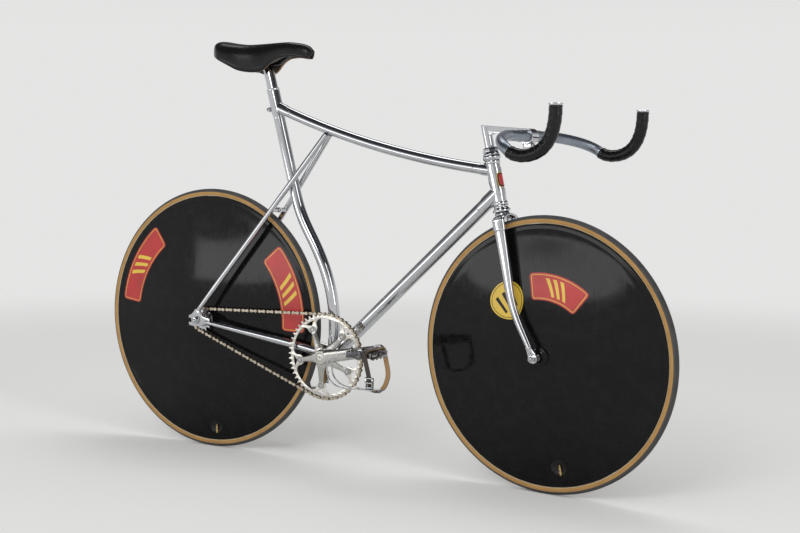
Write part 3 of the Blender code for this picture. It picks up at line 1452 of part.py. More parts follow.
def seat_post():
    """The post with its head, the lower cradle for the rails and the hole for the clamp bolt."""
    top = seat_top + post_up * (POST_SHOWN - 0.024)
    pipe = rod(seat_top - post_up * POST_BURIED, top, POST, 14, Y)
    head_outline = [
        (-0.0130, -0.036), (0.0140, -0.034), (0.0205, -0.026), (0.0205, -0.016), (0.0160, -0.0080),
        (0.0100, -0.0045), (-0.0200, -0.0045), (-0.0280, -0.0060), (-0.0290, -0.0100), (-0.0170, -0.0170),
        (-0.0100, -0.0250),
    ]
    head_block = prism([(b, a) for a, b in head_outline], -0.0115, 0.0115, clamp_point, Z, X)
    cradle_top = -RAIL - GAP
    cradle = block(
        clamp_point + Vector((-0.016, -RAIL_SPREAD - 0.0045, cradle_top - 0.0055)),
        clamp_point + Vector((0.012, RAIL_SPREAD + 0.0045, cradle_top)),
    )
    hole = rod(clamp_point + Vector((-0.0225, 0, -0.04)), clamp_point + Vector((-0.0225, 0, 0.04)), 0.0033, 12)
    return cut(joined(pipe, head_block, cradle), hole)


def saddle_clamp():
    """The upper plate over both rails and the bolt that draws it down."""
    low = RAIL + GAP
    plate_shape = block(
        clamp_point + Vector((-0.0265, -RAIL_SPREAD - 0.0045, low)),
        clamp_point + Vector((0.011, RAIL_SPREAD + 0.0045, low + 0.0045)),
    )
    at = clamp_point + Vector((-0.0225, 0, 0))
    bolt = rod(at - Z * 0.0200, at + Z * (low + 0.0065), 0.0030, 12)
    bolt_head = rod(at - Z * 0.0215, at - Z * 0.0175, 0.0050, 12)
    cap = rod(at + Z * (low + 0.003), at + Z * (low + 0.0075), 0.0048, 6)
    return joined(plate_shape, bolt, bolt_head, cap)


solid("seat_post", seat_post(), "chrome", "seat")
solid("saddle_clamp", saddle_clamp(), "steel", "seat")

saddle_rear = clamp_point + Vector((-SADDLE_REAR, 0, 0))


def saddle_section(u, off):
    """Half of the saddle's section at a share of its length, drawn in by an offset."""
    top = smooth([(0, 0.0385), (0.06, 0.0545), (0.14, 0.0604), (0.26, 0.0540), (0.42, 0.0487),
                  (0.75, 0.0501), (0.88, 0.0456), (0.96, 0.0383), (1, 0.0270)], u) + SADDLE_CROWN - 0.049
    edge = smooth([(0, 0.0320), (0.10, 0.0200), (0.24, 0.0045), (0.38, -0.0155), (0.55, -0.0244),
                   (0.64, -0.0200), (0.76, 0.0050), (0.90, 0.0072), (1, 0.0050)], u)
    wide = SADDLE_HALF_WIDTH * smooth([(0, 0.52), (0.05, 0.83), (0.18, 1.0), (0.32, 0.88), (0.50, 0.63),
                                       (0.61, 0.51), (0.75, 0.37), (0.88, 0.29), (0.96, 0.22), (1, 0.10)], u)
    tall = top - edge
    squeeze = max(1 - off / tall, 0.04)
    narrow = max(1 - off / wide, 0.04)
    found = []
    for w, h in ((0, 1), (0.42, 0.965), (0.78, 0.83), (0.97, 0.55), (0.97, 0)):
        found.append((w * wide * narrow, edge + tall * h * squeeze))
    return found


SADDLE_STATIONS = 13


def saddle_skin(outer, inner, first, last, closed):
    """A shell between two offsets of the saddle's form, open below, its ends walled if it is closed."""
    rows = {}
    points = []
    inset = 1 if closed else 0
    for layer, off, low, high in ((0, outer, first, last), (1, inner, first + inset, last - inset)):
        for i in range(low, high + 1):
            u = 0.5 - 0.5 * cos(pi * i / SADDLE_STATIONS)
            half = saddle_section(u, off)
            at = saddle_rear + X * (u * SADDLE_LENGTH)
            rows[layer, i] = list(range(len(points), len(points) + 2 * len(half) - 1))
            points += [at + Y * y + Z * z for y, z in [(-y, z) for y, z in reversed(half)] + half[1:]]
    faces = []
    right = len(rows[0, first]) - 1
    for (layer, i), row in rows.items():
        after = rows.get((layer, i + 1))
        for j in range(right if after else 0):
            a, b, c, d = row[j], after[j], after[j + 1], row[j + 1]
            faces += [(a, b, c), (a, c, d)] if j < right / 2 else [(a, b, d), (b, c, d)]
        if layer and after:
            for j in (0, right):
                faces.append((rows[0, i][j], rows[0, i + 1][j], after[j], row[j]))
    for end, step in ((first, 1), (last, -1)):
        skin = rows[0, end]
        lining = rows[1, end + step * inset]
        if closed:
            faces += [tuple(skin), tuple(lining), (skin[0], skin[right], lining[right], lining[0])]
            faces += [(skin[j], rows[0, end + step][j], lining[j]) for j in (0, right)]
        else:
            faces += [(skin[j], skin[j + 1], lining[j + 1], lining[j]) for j in range(right)]
    return points, faces


def rail_line():
    """One side of the rod, from its rear end past the clamp to the middle of the nose."""
    half = [
        Vector((-0.135, 0.031, 0.0300)), Vector((-0.120, 0.030, 0.0190)), Vector((-0.085, 0.025, 0.0035)),
        Vector((-0.050, RAIL_SPREAD, 0)), Vector((0.024, RAIL_SPREAD, 0)), Vector((0.040, 0.0165, 0.0008)),
        Vector((0.065, 0.0105, 0.0060)), Vector((0.100, 0.0062, 0.0190)), Vector((0.112, 0.0046, 0.0235)),
    ]
    return half + [Vector((p.x, -p.y, p.z)) for p in reversed(half)]


def saddle_rails(radius, sides):
    return tube([clamp_point + p for p in rail_line()], radius, sides, side=Z)


def saddle_shell():
    """The stiff base under the leather, with a block for each rear rail end and one at the nose."""
    skin = saddle_skin(SADDLE_PAD + GAP, SADDLE_PAD + GAP + SADDLE_BASE, 2, SADDLE_STATIONS - 2, False)
    blocks = [
        block(clamp_point + Vector((-0.1395, 0.0255, 0.0235)), clamp_point + Vector((-0.1275, 0.0362, 0.0440))),
        block(clamp_point + Vector((-0.1395, -0.0362, 0.0235)), clamp_point + Vector((-0.1275, -0.0255, 0.0440))),
        block(clamp_point + Vector((0.104, -0.0098, 0.0175)), clamp_point + Vector((0.1165, 0.0098, 0.0300))),
    ]
    return cut(joined(skin, *blocks), saddle_rails(RAIL + GAP, 8))


solid("saddle_cover", saddle_skin(0, SADDLE_PAD, 0, SADDLE_STATIONS, True), "black_leather", "saddle")
solid("saddle_shell", saddle_shell(), "brown_leather", "saddle")
solid("saddle_rails", saddle_rails(RAIL, 8), "steel", "saddle")

# The fork stands a little to the right, as the photograph shows it.

fork.rotation_mode = "QUATERNION"
fork.rotation_quaternion = Matrix.Rotation(radians(STEER_REST), 3, steering).to_quaternion()
bpy.context.view_layer.update()
for name, (pivot, _) in bodies.items():
    place = pivot.matrix_world.translation
    print("body %-12s %9.5f %9.5f %9.5f" % (name, place.x, place.y, place.z))
across_fork = fork.matrix_world.to_3x3() @ Y
print("front wheel axis %.6f %.6f %.6f" % tuple(across_fork), "steering axis %.6f %.6f %.6f" % tuple(steering))
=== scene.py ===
import bmesh
import bpy
from math import acos, asin, atan2, cos, degrees, pi, radians, sin, sqrt
from mathutils import Matrix, Vector, noise
from mathutils.geometry import tessellate_polygon


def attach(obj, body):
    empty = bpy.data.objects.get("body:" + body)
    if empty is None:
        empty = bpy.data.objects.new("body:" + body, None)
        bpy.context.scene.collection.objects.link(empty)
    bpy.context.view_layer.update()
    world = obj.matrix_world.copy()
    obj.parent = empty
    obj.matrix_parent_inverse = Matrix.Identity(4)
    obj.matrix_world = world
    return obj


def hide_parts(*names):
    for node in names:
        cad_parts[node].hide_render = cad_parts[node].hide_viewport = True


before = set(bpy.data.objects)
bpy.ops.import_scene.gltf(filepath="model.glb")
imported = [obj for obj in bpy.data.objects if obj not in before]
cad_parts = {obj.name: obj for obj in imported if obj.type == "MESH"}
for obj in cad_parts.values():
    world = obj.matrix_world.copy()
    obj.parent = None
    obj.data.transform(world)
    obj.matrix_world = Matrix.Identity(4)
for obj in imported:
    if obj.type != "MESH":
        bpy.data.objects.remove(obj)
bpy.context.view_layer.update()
print("frame loaded")

# Lengths are in metres. Only the rows inside mm() and the corners of boxes are in millimetres.

xAxis, yAxis, zAxis = Vector((1, 0, 0)), Vector((0, 1, 0)), Vector((0, 0, 1))
gap = 0.0003


def mm(*rows, at=(0, 0, 0, 0)):
    # Rows of millimetres, measured from a base, as rows of metres
    return [tuple(base + value / 1000 for base, value in zip(at, row)) for row in rows]


def linked(name, data):
    made = bpy.data.objects.new(name, data)
    bpy.context.scene.collection.objects.link(made)
    return made


# The camera stands where the photograph was taken from.

lookout = {
    "place": (1.5336, -2.395, 0.6855),
    "azimuth": 0.51359356,
    "elevation": 0.0698953187,
    "roll": 0.00725567841,
    "lens": 52.4957,
    "sensor": 36.0,
    "farthest": 200,
}


def setCamera():
    data = bpy.data.cameras.new("camera")
    data.sensor_fit = "HORIZONTAL"
    data.sensor_width = lookout["sensor"]
    data.lens = lookout["lens"]
    data.clip_end = lookout["farthest"]
    camera = linked("camera", data)
    place = Matrix.Translation(lookout["place"]) @ Matrix.Rotation(lookout["azimuth"], 4, "Z")
    tilt = Matrix.Rotation(pi / 2 - lookout["elevation"], 4, "X") @ Matrix.Rotation(lookout["roll"], 4, "Z")
    camera.matrix_world = place @ tilt
    bpy.context.scene.camera = camera


setCamera()
print("camera set")

# Nodes for the materials: every finish reads Object coordinates or the piece's own UV map.

finishes = {}


def feed(socket, value):
    if isinstance(value, bpy.types.NodeSocket):
        socket.id_data.links.new(value, socket)
    elif socket.type == "RGBA":
        socket.default_value = (*value, 1)
    else:
        socket.default_value = value


class Nodes:
    # A node tree, with short ways to add to it.

    def __init__(self, tree, shader=None):
        self.tree = tree
        self.shader = shader

    def add(self, kind, inputs=None, **settings):
        node = self.tree.nodes.new(kind)
        for key, value in settings.items():
            setattr(node, key, value)
        for key, value in (inputs or {}).items():
            feed(node.inputs[key], value)
        return node

    def get(self, kind, inputs=None, **settings):
        return self.add(kind, inputs, **settings).outputs[0]

    def math(self, operation, *values):
        return self.get("ShaderNodeMath", dict(enumerate(values)), operation=operation)

    def coords(self, scale=(1, 1, 1), rotation=(0, 0, 0)):
        spot = self.add("ShaderNodeTexCoord").outputs["Object"]
        inputs = {"Vector": spot, "Scale": scale, "Rotation": rotation}
        return self.get("ShaderNodeMapping", inputs)

    def noise(self, vector, scale, detail=4.0, rough=0.55):
        inputs = {"Vector": vector, "Scale": scale, "Detail": detail, "Roughness": rough}
        return self.add("ShaderNodeTexNoise", inputs).outputs["Fac"]

    def spread(self, value, low, high, fromLow=0.3, fromHigh=0.7, **settings):
        inputs = {"Value": value, "From Min": fromLow, "From Max": fromHigh, "To Min": low, "To Max": high}
        return self.add("ShaderNodeMapRange", inputs, clamp=True, **settings).outputs["Result"]

    def blend(self, factor, first, second):
        node = self.add("ShaderNodeMix", data_type="RGBA")
        for socket, value in zip([s for s in node.inputs if s.enabled], (factor, first, second)):
            feed(socket, value)
        return next(s for s in node.outputs if s.enabled)

    def mixed(self, factor, first, second):
        # Two shaders, the second where the factor is 1
        inputs = {0: factor, 1: first.outputs[0], 2: second.outputs[0]}
        return self.get("ShaderNodeMixShader", inputs)

    def bump(self, height, strength, distance, before=None):
        node = self.add("ShaderNodeBump", {"Height": height, "Strength": strength, "Distance": distance})
        if before is not None:
            feed(node.inputs["Normal"], before)
        feed(self.shader.inputs["Normal"], node.outputs[0])
        return node.outputs[0]

    def dress(self, colour, roughness):
        feed(self.shader.inputs["Base Color"], colour)
        feed(self.shader.inputs["Roughness"], roughness)


def newFinish(name, colour, roughness, metallic=0.0, **sockets):
    made = bpy.data.materials.new(name)
    made.use_nodes = True
    made.diffuse_color = (*colour, 1)
    finishes[name] = made
    shader = made.node_tree.nodes["Principled BSDF"]
    plain = {"Base Color": colour, "Roughness": roughness, "Metallic": metallic}
    for key, value in {**plain, **sockets}.items():
        feed(shader.inputs[key], value)
    return Nodes(made.node_tree, shader)


def metalFinish(name, light, dark, smooth, dull, cloud, grain, depth, stretch=(1, 1, 1)):
    # Polished metal: faint clouds from handling and fine lines from the polishing wheel.
    n = newFinish(name, light, smooth, 1.0)
    clouds = n.noise(n.coords(), cloud, 5.0, 0.6)
    marks = n.noise(n.coords(stretch), grain, 3.0, 0.5)
    worn = n.spread(n.math("MULTIPLY", clouds, marks), smooth, dull, 0.12, 0.42)
    n.dress(n.blend(n.spread(clouds, 0, 1, 0.38, 0.72), light, dark), worn)
    n.bump(marks, 0.15, depth)


def discFinish(name, black, dusty):
    # Gloss black shell with dust, fine wipe marks and a trace of waviness in the lacquer.
    n = newFinish(name, black, 0.08, 0.0, **{"Specular IOR Level": 0.20})
    flat = n.coords()
    dust = n.noise(flat, 34, 8.0, 0.7)
    marks = n.noise(n.coords((1, 1, 0.06), (0, radians(24), 0)), 380, 3.0)
    wiped = n.spread(n.math("MULTIPLY", dust, marks), 0.05, 0.16, 0.14, 0.44)
    n.dress(n.blend(n.spread(dust, 0, 1, 0.45, 0.8), black, dusty), wiped)
    n.bump(n.noise(flat, 7, 2.0), 0.05, 0.0004)


def tyreFinish(name):
    # UV: u runs round the tyre in metres, v across its section in metres from the crown.
    n = newFinish(name, (0.05, 0.05, 0.052), 0.62)
    wrap = n.add("ShaderNodeUVMap", uv_map="wrap").outputs["UV"]
    u, v, _ = n.add("ShaderNodeSeparateXYZ", {"Vector": wrap}).outputs
    away = n.math("ABSOLUTE", v)
    flat = n.coords()
    speck = n.noise(flat, 420, 4.0)
    cloud = n.spread(n.noise(flat, 26, 5.0), 0, 1)
    tread = n.blend(cloud, (0.036, 0.036, 0.038), (0.066, 0.065, 0.064))
    tread = n.blend(n.spread(away, 0, 1, 0.0090, 0.0135), tread, (0.085, 0.083, 0.080))
    warp = n.math("SINE", n.math("MULTIPLY", n.math("ADD", u, v), 5200))
    weft = n.math("SINE", n.math("MULTIPLY", n.math("SUBTRACT", u, v), 5200))
    threads = n.math("MULTIPLY", warp, weft)
    tan = n.blend(cloud, (0.56, 0.315, 0.095), (0.46, 0.245, 0.070))
    tan = n.blend(n.spread(threads, 0, 0.22, -1, 1), tan, (0.30, 0.16, 0.05))
    tan = n.blend(n.spread(away, 0, 1, 0.0226, 0.0229), tan, (0.66, 0.53, 0.34))
    side = n.spread(away, 0, 1, 0.01400, 0.01425)
    n.dress(n.blend(side, tread, tan), n.spread(speck, 0.52, 0.74))
    ribs = n.math("SINE", n.math("MULTIPLY", v, 4200))
    herring = n.math("SINE", n.math("MULTIPLY", n.math("ADD", u, away), 3000))
    pattern = n.math("MULTIPLY", n.math("MAXIMUM", ribs, herring), n.math("SUBTRACT", 1, side))
    first = n.bump(n.math("ADD", pattern, n.math("MULTIPLY", threads, 0.4)), 0.55, 0.00018)
    n.bump(speck, 0.25, 0.0001, first)


def leatherFinish(name, base, worn, rough, poreScale, poreDepth, edgeWear):
    # Hide grain from cells, with rubbed places on the outer curves.
    n = newFinish(name, base, rough, 0.0, **{"Specular IOR Level": 0.30})
    flat = n.coords()
    grain = n.add("ShaderNodeTexVoronoi", {"Vector": flat, "Scale": poreScale}, feature="DISTANCE_TO_EDGE")
    cloud = n.noise(flat, 22, 6.0, 0.6)
    rubbed = n.add("ShaderNodeNewGeometry").outputs["Pointiness"]
    edge = n.math("MULTIPLY", n.spread(rubbed, 0, 1, 0.50, 0.56), edgeWear)
    shade = n.math("MAXIMUM", edge, n.spread(cloud, 0, 0.55, 0.42, 0.78))
    n.dress(n.blend(shade, base, worn), n.spread(cloud, rough - 0.08, rough + 0.10))
    first = n.bump(grain.outputs["Distance"], 0.35, poreDepth)
    n.bump(n.noise(flat, poreScale * 2.2, 3.0), 0.20, poreDepth * 0.5, first)


def panelFinish(name, colour, second, rough):
    # Printed film on the disc: slight fading and scuffs.
    n = newFinish(name, colour, rough, 0.0, **{"Coat Weight": 0.3, "Coat Roughness": 0.2})
    fade = n.spread(n.noise(n.coords(), 18, 5.0), 0, 1, 0.35, 0.75)
    scuff = n.noise(n.coords((1, 1, 0.1), (0, radians(40), 0)), 420, 4.0)
    n.dress(n.blend(fade, colour, second), n.spread(scuff, rough - 0.06, rough + 0.16))
    n.bump(scuff, 0.08, 0.00005)


metalFinish("chrome", (0.59, 0.60, 0.62), (0.53, 0.54, 0.56), 0.015, 0.06, 30, 700, 6e-6)
metalFinish("polishedAlloy", (0.60, 0.59, 0.56), (0.49, 0.48, 0.45), 0.20, 0.34, 60, 900, 3e-5, (0.15, 1, 1))
metalFinish("ringAlloy", (0.74, 0.72, 0.67), (0.62, 0.60, 0.55), 0.22, 0.38, 80, 1000, 3e-5)
metalFinish("silverAlloy", (0.33, 0.36, 0.41), (0.25, 0.28, 0.33), 0.30, 0.42, 50, 900, 3e-5, (1, 0.12, 1))
metalFinish("steel", (0.52, 0.52, 0.54), (0.34, 0.34, 0.36), 0.20, 0.40, 90, 1100, 4e-5)
# Dark steel for the pedal cage and saddle rails, and also painted shade in bolt sockets and the seat lug's
# slot.
metalFinish("darkSteel", (0.16, 0.16, 0.17), (0.07, 0.07, 0.075), 0.22, 0.40, 90, 1100, 4e-5)
metalFinish("chainSteel", (0.60, 0.54, 0.44), (0.30, 0.25, 0.19), 0.24, 0.46, 160, 1400, 4e-5)
# A darker chain steel for the inner plates and rollers: painted shade where they sit between the outer
# plates.
metalFinish("chainPaintedShade", (0.20, 0.165, 0.12), (0.07, 0.056, 0.042), 0.30, 0.50, 160, 1400, 4e-5)
metalFinish("brass", (0.72, 0.52, 0.24), (0.46, 0.31, 0.12), 0.24, 0.42, 120, 1200, 3e-5)
discFinish("discShell", (0.005, 0.005, 0.0055), (0.011, 0.011, 0.0115))
tyreFinish("tyre")
leatherFinish("saddleBlack", (0.006, 0.006, 0.0065), (0.018, 0.0175, 0.017), 0.26, 1500, 0.00006, 0.4)
leatherFinish("hideEdge", (0.40, 0.215, 0.090), (0.52, 0.31, 0.15), 0.55, 1100, 0.00012, 0.5)
leatherFinish("hideDark", (0.040, 0.026, 0.020), (0.075, 0.046, 0.030), 0.60, 1100, 0.00020, 0.5)
leatherFinish("strapTan", (0.40, 0.235, 0.105), (0.52, 0.33, 0.165), 0.50, 1700, 0.00012, 0.7)
leatherFinish("strapDark", (0.034, 0.027, 0.026), (0.085, 0.065, 0.055), 0.42, 1700, 0.00012, 0.8)
leatherFinish("barTape", (0.004, 0.004, 0.0045), (0.014, 0.014, 0.015), 0.19, 1900, 0.00004, 0.8)
leatherFinish("blackPlastic", (0.015, 0.015, 0.016), (0.035, 0.035, 0.036), 0.38, 2600, 0.00005, 0.4)
panelFinish("panelRed", (0.56, 0.022, 0.020), (0.42, 0.018, 0.016), 0.34)
panelFinish("panelYellow", (0.86, 0.60, 0.060), (0.74, 0.48, 0.045), 0.34)
print("finishes made:", len(finishes))

# The record's slot that each finish fills
slots = {
    "chrome": "chrome", "steel": "steel", "darkSteel": "steel", "brass": "steel",
    "polishedAlloy": "polished_alloy", "ringAlloy": "polished_alloy", "silverAlloy": "silver_alloy",
    "discShell": "black_disc", "blackPlastic": "black_disc", "tyre": "tyre_tan", "barTape": "black_tape",
    "saddleBlack": "black_leather", "hideDark": "brown_leather",
    "strapTan": "strap_leather", "strapDark": "strap_leather",
}

# Shapes are pairs of points and faces, made with the fork straight ahead.


def wayAt(angle):
    # The direction at an angle from straight ahead, in the bicycle's middle plane
    return Vector((cos(angle), 0, sin(angle)))


def angles(sides, start=0):
    return [2 * pi * (j + start) / sides for j in range(sides)]


def ringOf(centre, across, up, radii):
    return [centre + across * (r * cos(a)) + up * (r * sin(a)) for r, a in zip(radii, angles(len(radii)))]


def circleOf(centre, across, up, wide, high, sides):
    return [centre + across * (wide * cos(a)) + up * (high * sin(a)) for a in angles(sides, 0.5)]


def polygonReach(angle, radius, corners):
    half = pi / corners
    return radius * cos(half) / cos((angle + half) % (2 * half) - half)


def loft(rings, loop=False):
    # A skin over rings of equal size, with a face at each end or with its ends joined.
    size = len(rings[0])
    points = [p for ring in rings for p in ring]
    faces = []
    for i in range(len(rings) - (not loop)):
        a, b = i * size, (i + 1) % len(rings) * size
        for j in range(size):
            k = (j + 1) % size
            faces.append((a + j, a + k, b + k, b + j))
    if not loop:
        faces += [tuple(range(size)), tuple(reversed(range(len(points) - size, len(points))))]
    return points, faces


def squareTo(axis, hint=None):
    axis = axis.normalized()
    hint = hint or (xAxis if abs(axis.x) < 0.7 else zAxis)
    first = (hint - axis * hint.dot(axis)).normalized()
    return first, axis.cross(first)


def turnedShape(profile, centre, axis, steps=48, loop=False, hint=None):
    # A profile of (radius, distance along the axis) spun about the axis.
    axis = axis.normalized()
    first, second = squareTo(axis, hint)
    return loft([circleOf(centre + axis * h, first, second, r, r, steps) for r, h in profile], loop)


def steererShape(profile, steps=56):
    return turnedShape(profile, axisFoot, steering, steps, True, yAxis)


def rodShape(start, end, radius, sides=24, hint=None):
    return turnedShape([(radius, 0), (radius, (end - start).length)], start, end - start, sides, hint=hint)


def softRod(start, end, radius, edge, sides=28):
    # A rod whose ends are rounded over.
    length = (end - start).length
    curve = [pi / 2 * i / 4 for i in range(5)]
    profile = [(radius - edge + edge * sin(a), edge - edge * cos(a)) for a in curve]
    return turnedShape(profile + [(r, length - h) for r, h in reversed(profile)], start, end - start, sides)


def pathFrames(points, side):
    found = []
    for i, point in enumerate(points):
        before = points[max(i - 1, 0)]
        after = points[min(i + 1, len(points) - 1)]
        along = (after - before).normalized()
        side = (side - along * side.dot(along)).normalized()
        found.append((point, along, side, along.cross(side)))
    return found


def measured(frames):
    # The path's length, and a function that gives its frame at a distance.
    lengths = [0]
    for a, b in zip(frames, frames[1:]):
        lengths.append(lengths[-1] + (b[0] - a[0]).length)

    def at(distance):
        i = max(k for k in range(len(frames) - 1) if lengths[k] <= distance or k == 0)
        share = min((distance - lengths[i]) / (lengths[i + 1] - lengths[i]), 1)
        return [p.lerp(q, share) for p, q in zip(frames[i], frames[i + 1])]

    return lengths[-1], at


def tubeShape(points, radii, sides=32, side=yAxis):
    if not isinstance(radii, (list, tuple)):
        radii = [radii] * len(points)
    rings = []
    for (point, _, across, up), radius in zip(pathFrames(points, side), radii):
        wide, tall = radius if isinstance(radius, tuple) else (radius, radius)
        rings.append(circleOf(point, across, up, wide, tall, sides))
    return loft(rings)


def bandShape(points, width, thickness, side, closed=False):
    # A strap or strip with rounded edges along a path, its width along the side.
    a, b, c = width / 2, thickness / 2, thickness * 0.35
    corner = [(a, b - c), (a - c * 0.3, b - c * 0.3), (a - c, b)]
    around = corner + [(-u, v) for u, v in reversed(corner)]
    around += [(-u, -v) for u, v in around]
    frames = pathFrames(points, side)
    rings = [[point + across * u + up * v for u, v in around] for point, _, across, up in frames]
    return loft(rings[:-1] if closed else rings, closed)


def prismShape(outline, low, high, centre, u, v, holes=()):
    w = u.cross(v)
    loops = [outline, *holes]
    flat = [p for one in loops for p in one]
    size = len(flat)
    triangles = tessellate_polygon([[Vector((a, b, 0)) for a, b in one] for one in loops])
    points = [centre + u * a + v * b + w * depth for depth in (low, high) for a, b in flat]
    faces = [tuple(t) for t in triangles] + [tuple(i + size for i in t) for t in triangles]
    start = 0
    for one in loops:
        for j in range(len(one)):
            a, b = start + j, start + (j + 1) % len(one)
            faces.append((a, b, b + size, a + size))
        start += len(one)
    return points, faces


def boxShape(place, low, high):
    # A box between two corners, given in millimetres from a place.
    (x, y, z), (farX, farY, farZ) = mm(low, high)
    outline = [(x, y), (farX, y), (farX, farY), (x, farY)]
    return prismShape(outline, z, farZ, place, xAxis, yAxis)


def softened(outline, passes=2, share=0.25):
    # Corners of a closed outline cut back again and again, which rounds them.
    for _ in range(passes):
        found = []
        for a, b in zip(outline, outline[1:] + outline[:1]):
            for part in (share, 1 - share):
                found.append((a[0] + (b[0] - a[0]) * part, a[1] + (b[1] - a[1]) * part))
        outline = found
    return outline


def moved(shape, matrix):
    return [matrix @ p for p in shape[0]], shape[1]


def flipped(shape):
    return [Vector((p.x, -p.y, p.z)) for p in shape[0]], [tuple(reversed(f)) for f in shape[1]]


def straight(start, end, steps):
    return [start.lerp(end, i / steps) for i in range(steps + 1)]


def cubicPath(a, b, c, d, steps):
    shares = [(i / steps, 1 - i / steps) for i in range(1, steps + 1)]
    return [a * s**3 + b * (3 * s * s * t) + c * (3 * s * t * t) + d * t**3 for t, s in shares]


def throughPath(points, steps, closed=False):
    # A smooth curve through the points.
    found = []
    count = len(points)
    for i in range(count if closed else count - 1):
        p1, p2 = points[i], points[(i + 1) % count]
        p0 = points[(i - 1) % count] if closed or i > 0 else p1 * 2 - p2
        p3 = points[(i + 2) % count] if closed or i < count - 2 else p2 * 2 - p1
        bend, twist = p0 * 2 - p1 * 5 + p2 * 4 - p3, p1 * 3 - p0 - p2 * 3 + p3
        for t in [j / steps for j in range(steps)]:
            found.append((p1 * 2 + (p2 - p0) * t + bend * t * t + twist * t**3) * 0.5)
    return found + [points[0 if closed else -1].copy()]


def smoothValue(values, t):
    # A height between (place, height) pairs, without overshoot.
    places = [p for p, _ in values]
    heights = [h for _, h in values]
    slopes = [(heights[i + 1] - heights[i]) / (places[i + 1] - places[i]) for i in range(len(values) - 1)]
    inner = [0 if a * b <= 0 else 2 * a * b / (a + b) for a, b in zip(slopes, slopes[1:])]
    tangents = [slopes[0], *inner, slopes[-1]]
    i = max(j for j in range(len(slopes)) if j == 0 or places[j] <= t)
    span = places[i + 1] - places[i]
    s = (t - places[i]) / span
    value = heights[i] * (1 + 2 * s) * (1 - s) ** 2 + heights[i + 1] * s * s * (3 - 2 * s)
    return value + span * (tangents[i] * s * (1 - s) ** 2 - tangents[i + 1] * s * s * (1 - s))


# Meshes and pieces


def meshFrom(name, parts, facing=None, wrap=None):
    # Parts are (shape, finish) pairs, and a list of finishes has one for each face. Faces are turned
    # outwards, or to the side that an open film faces. The wrap has each face's UV corners.
    work = bmesh.new()
    layer = work.loops.layers.uv.new("wrap") if wrap else None
    names = []
    for (points, faces), finish in parts:
        verts = [work.verts.new(p) for p in points]
        picks = finish if isinstance(finish, list) else [finish] * len(faces)
        for i, (face, pick) in enumerate(zip(faces, picks)):
            if pick not in names:
                names.append(pick)
            made = work.faces.new([verts[k] for k in face])
            made.material_index = names.index(pick)
            for loop, corner in zip(made.loops, wrap[i] if wrap else ()):
                loop[layer].uv = corner
    if facing:
        work.normal_update()
        bmesh.ops.reverse_faces(work, faces=[f for f in work.faces if f.normal.dot(facing) < 0])
    else:
        bmesh.ops.recalc_face_normals(work, faces=work.faces)
    mesh = bpy.data.meshes.new(name)
    work.to_mesh(mesh)
    work.free()
    for pick in filter(None, names):
        mesh.materials.append(finishes[pick])
    return mesh


def addStep(obj, kind, **settings):
    step = obj.modifiers.new(kind, kind)
    for key, value in settings.items():
        setattr(step, key, value)
    return step


def settled(obj):
    # The modifiers' result becomes the object's own plain mesh.
    graph = bpy.context.evaluated_depsgraph_get()
    mesh = bpy.data.meshes.new_from_object(obj.evaluated_get(graph))
    old = obj.data
    obj.modifiers.clear()
    obj.data = mesh
    bpy.data.meshes.remove(old)


def dropped(obj):
    # Removes a helper and returns the shape that it had.
    mesh = obj.data
    shape = [v.co.copy() for v in mesh.vertices], [tuple(p.vertices) for p in mesh.polygons]
    bpy.data.objects.remove(obj)
    bpy.data.meshes.remove(mesh)
    return shape


def cutBy(first, *others):
    host, *tools = [linked("helper", meshFrom("helper", [(shape, None)])) for shape in (first, *others)]
    for tool in tools:
        addStep(host, "BOOLEAN", operation="DIFFERENCE", solver="EXACT", object=tool)
    settled(host)
    for tool in tools:
        dropped(tool)
    return dropped(host)


def fused(shapes, voxel, passes):
    # Overlapping solids melted into one skin with soft fillets, as in a forging.
    host = linked("helper", meshFrom("helper", dressed(shapes, None)))
    addStep(host, "REMESH", mode="VOXEL", voxel_size=voxel, adaptivity=0)
    addStep(host, "SMOOTH", factor=0.5, iterations=passes)
    settled(host)
    return dropped(host)


def dressed(shapes, finish):
    return [(shape, finish) for shape in shapes]


def shaded(obj, crease):
    obj.data.shade_smooth()
    obj.data.set_sharp_from_angle(angle=radians(crease))


def handOver(obj, body, node, slot):
    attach(obj, body)
    if node:
        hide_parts(node)


def addPiece(
    name, body, parts, finish=None, node=None, slot=None,
    bevel=0, segments=2, crease=32, facing=None, wrap=None,
):
    # The piece replaces the CAD node of its own name, unless another or none is given. What the fork carries
    # is turned as it stands at rest.
    parts = dressed(parts, finish) if finish else parts
    if body in ("fork", "front_wheel", "stem", "handlebar"):
        parts = [(moved(shape, restTurn), look) for shape, look in parts]
        facing = facing and restTurn.to_3x3() @ facing
    obj = linked(name, meshFrom(name, parts, facing, wrap))
    if bevel:
        limit = {"limit_method": "ANGLE", "angle_limit": radians(40), "use_clamp_overlap": True}
        addStep(obj, "BEVEL", width=bevel, segments=segments, **limit)
        settled(obj)
    shaded(obj, crease)
    ownNode = "".join("_" + c.lower() if c.isupper() else c for c in name)
    look = parts[0][1]
    look = look[0] if isinstance(look, list) else look
    handOver(obj, body, ownNode if node is None else node, slot or slots.get(look))
    return obj


def addPair(name, body, shapes, finish, sides=("Left", "Right"), **settings):
    # The first side has the shapes as they are, and the other their mirror images.
    for side, parts in zip(sides, (shapes, [flipped(shape) for shape in shapes])):
        addPiece(name + side, body, parts, finish, **settings)


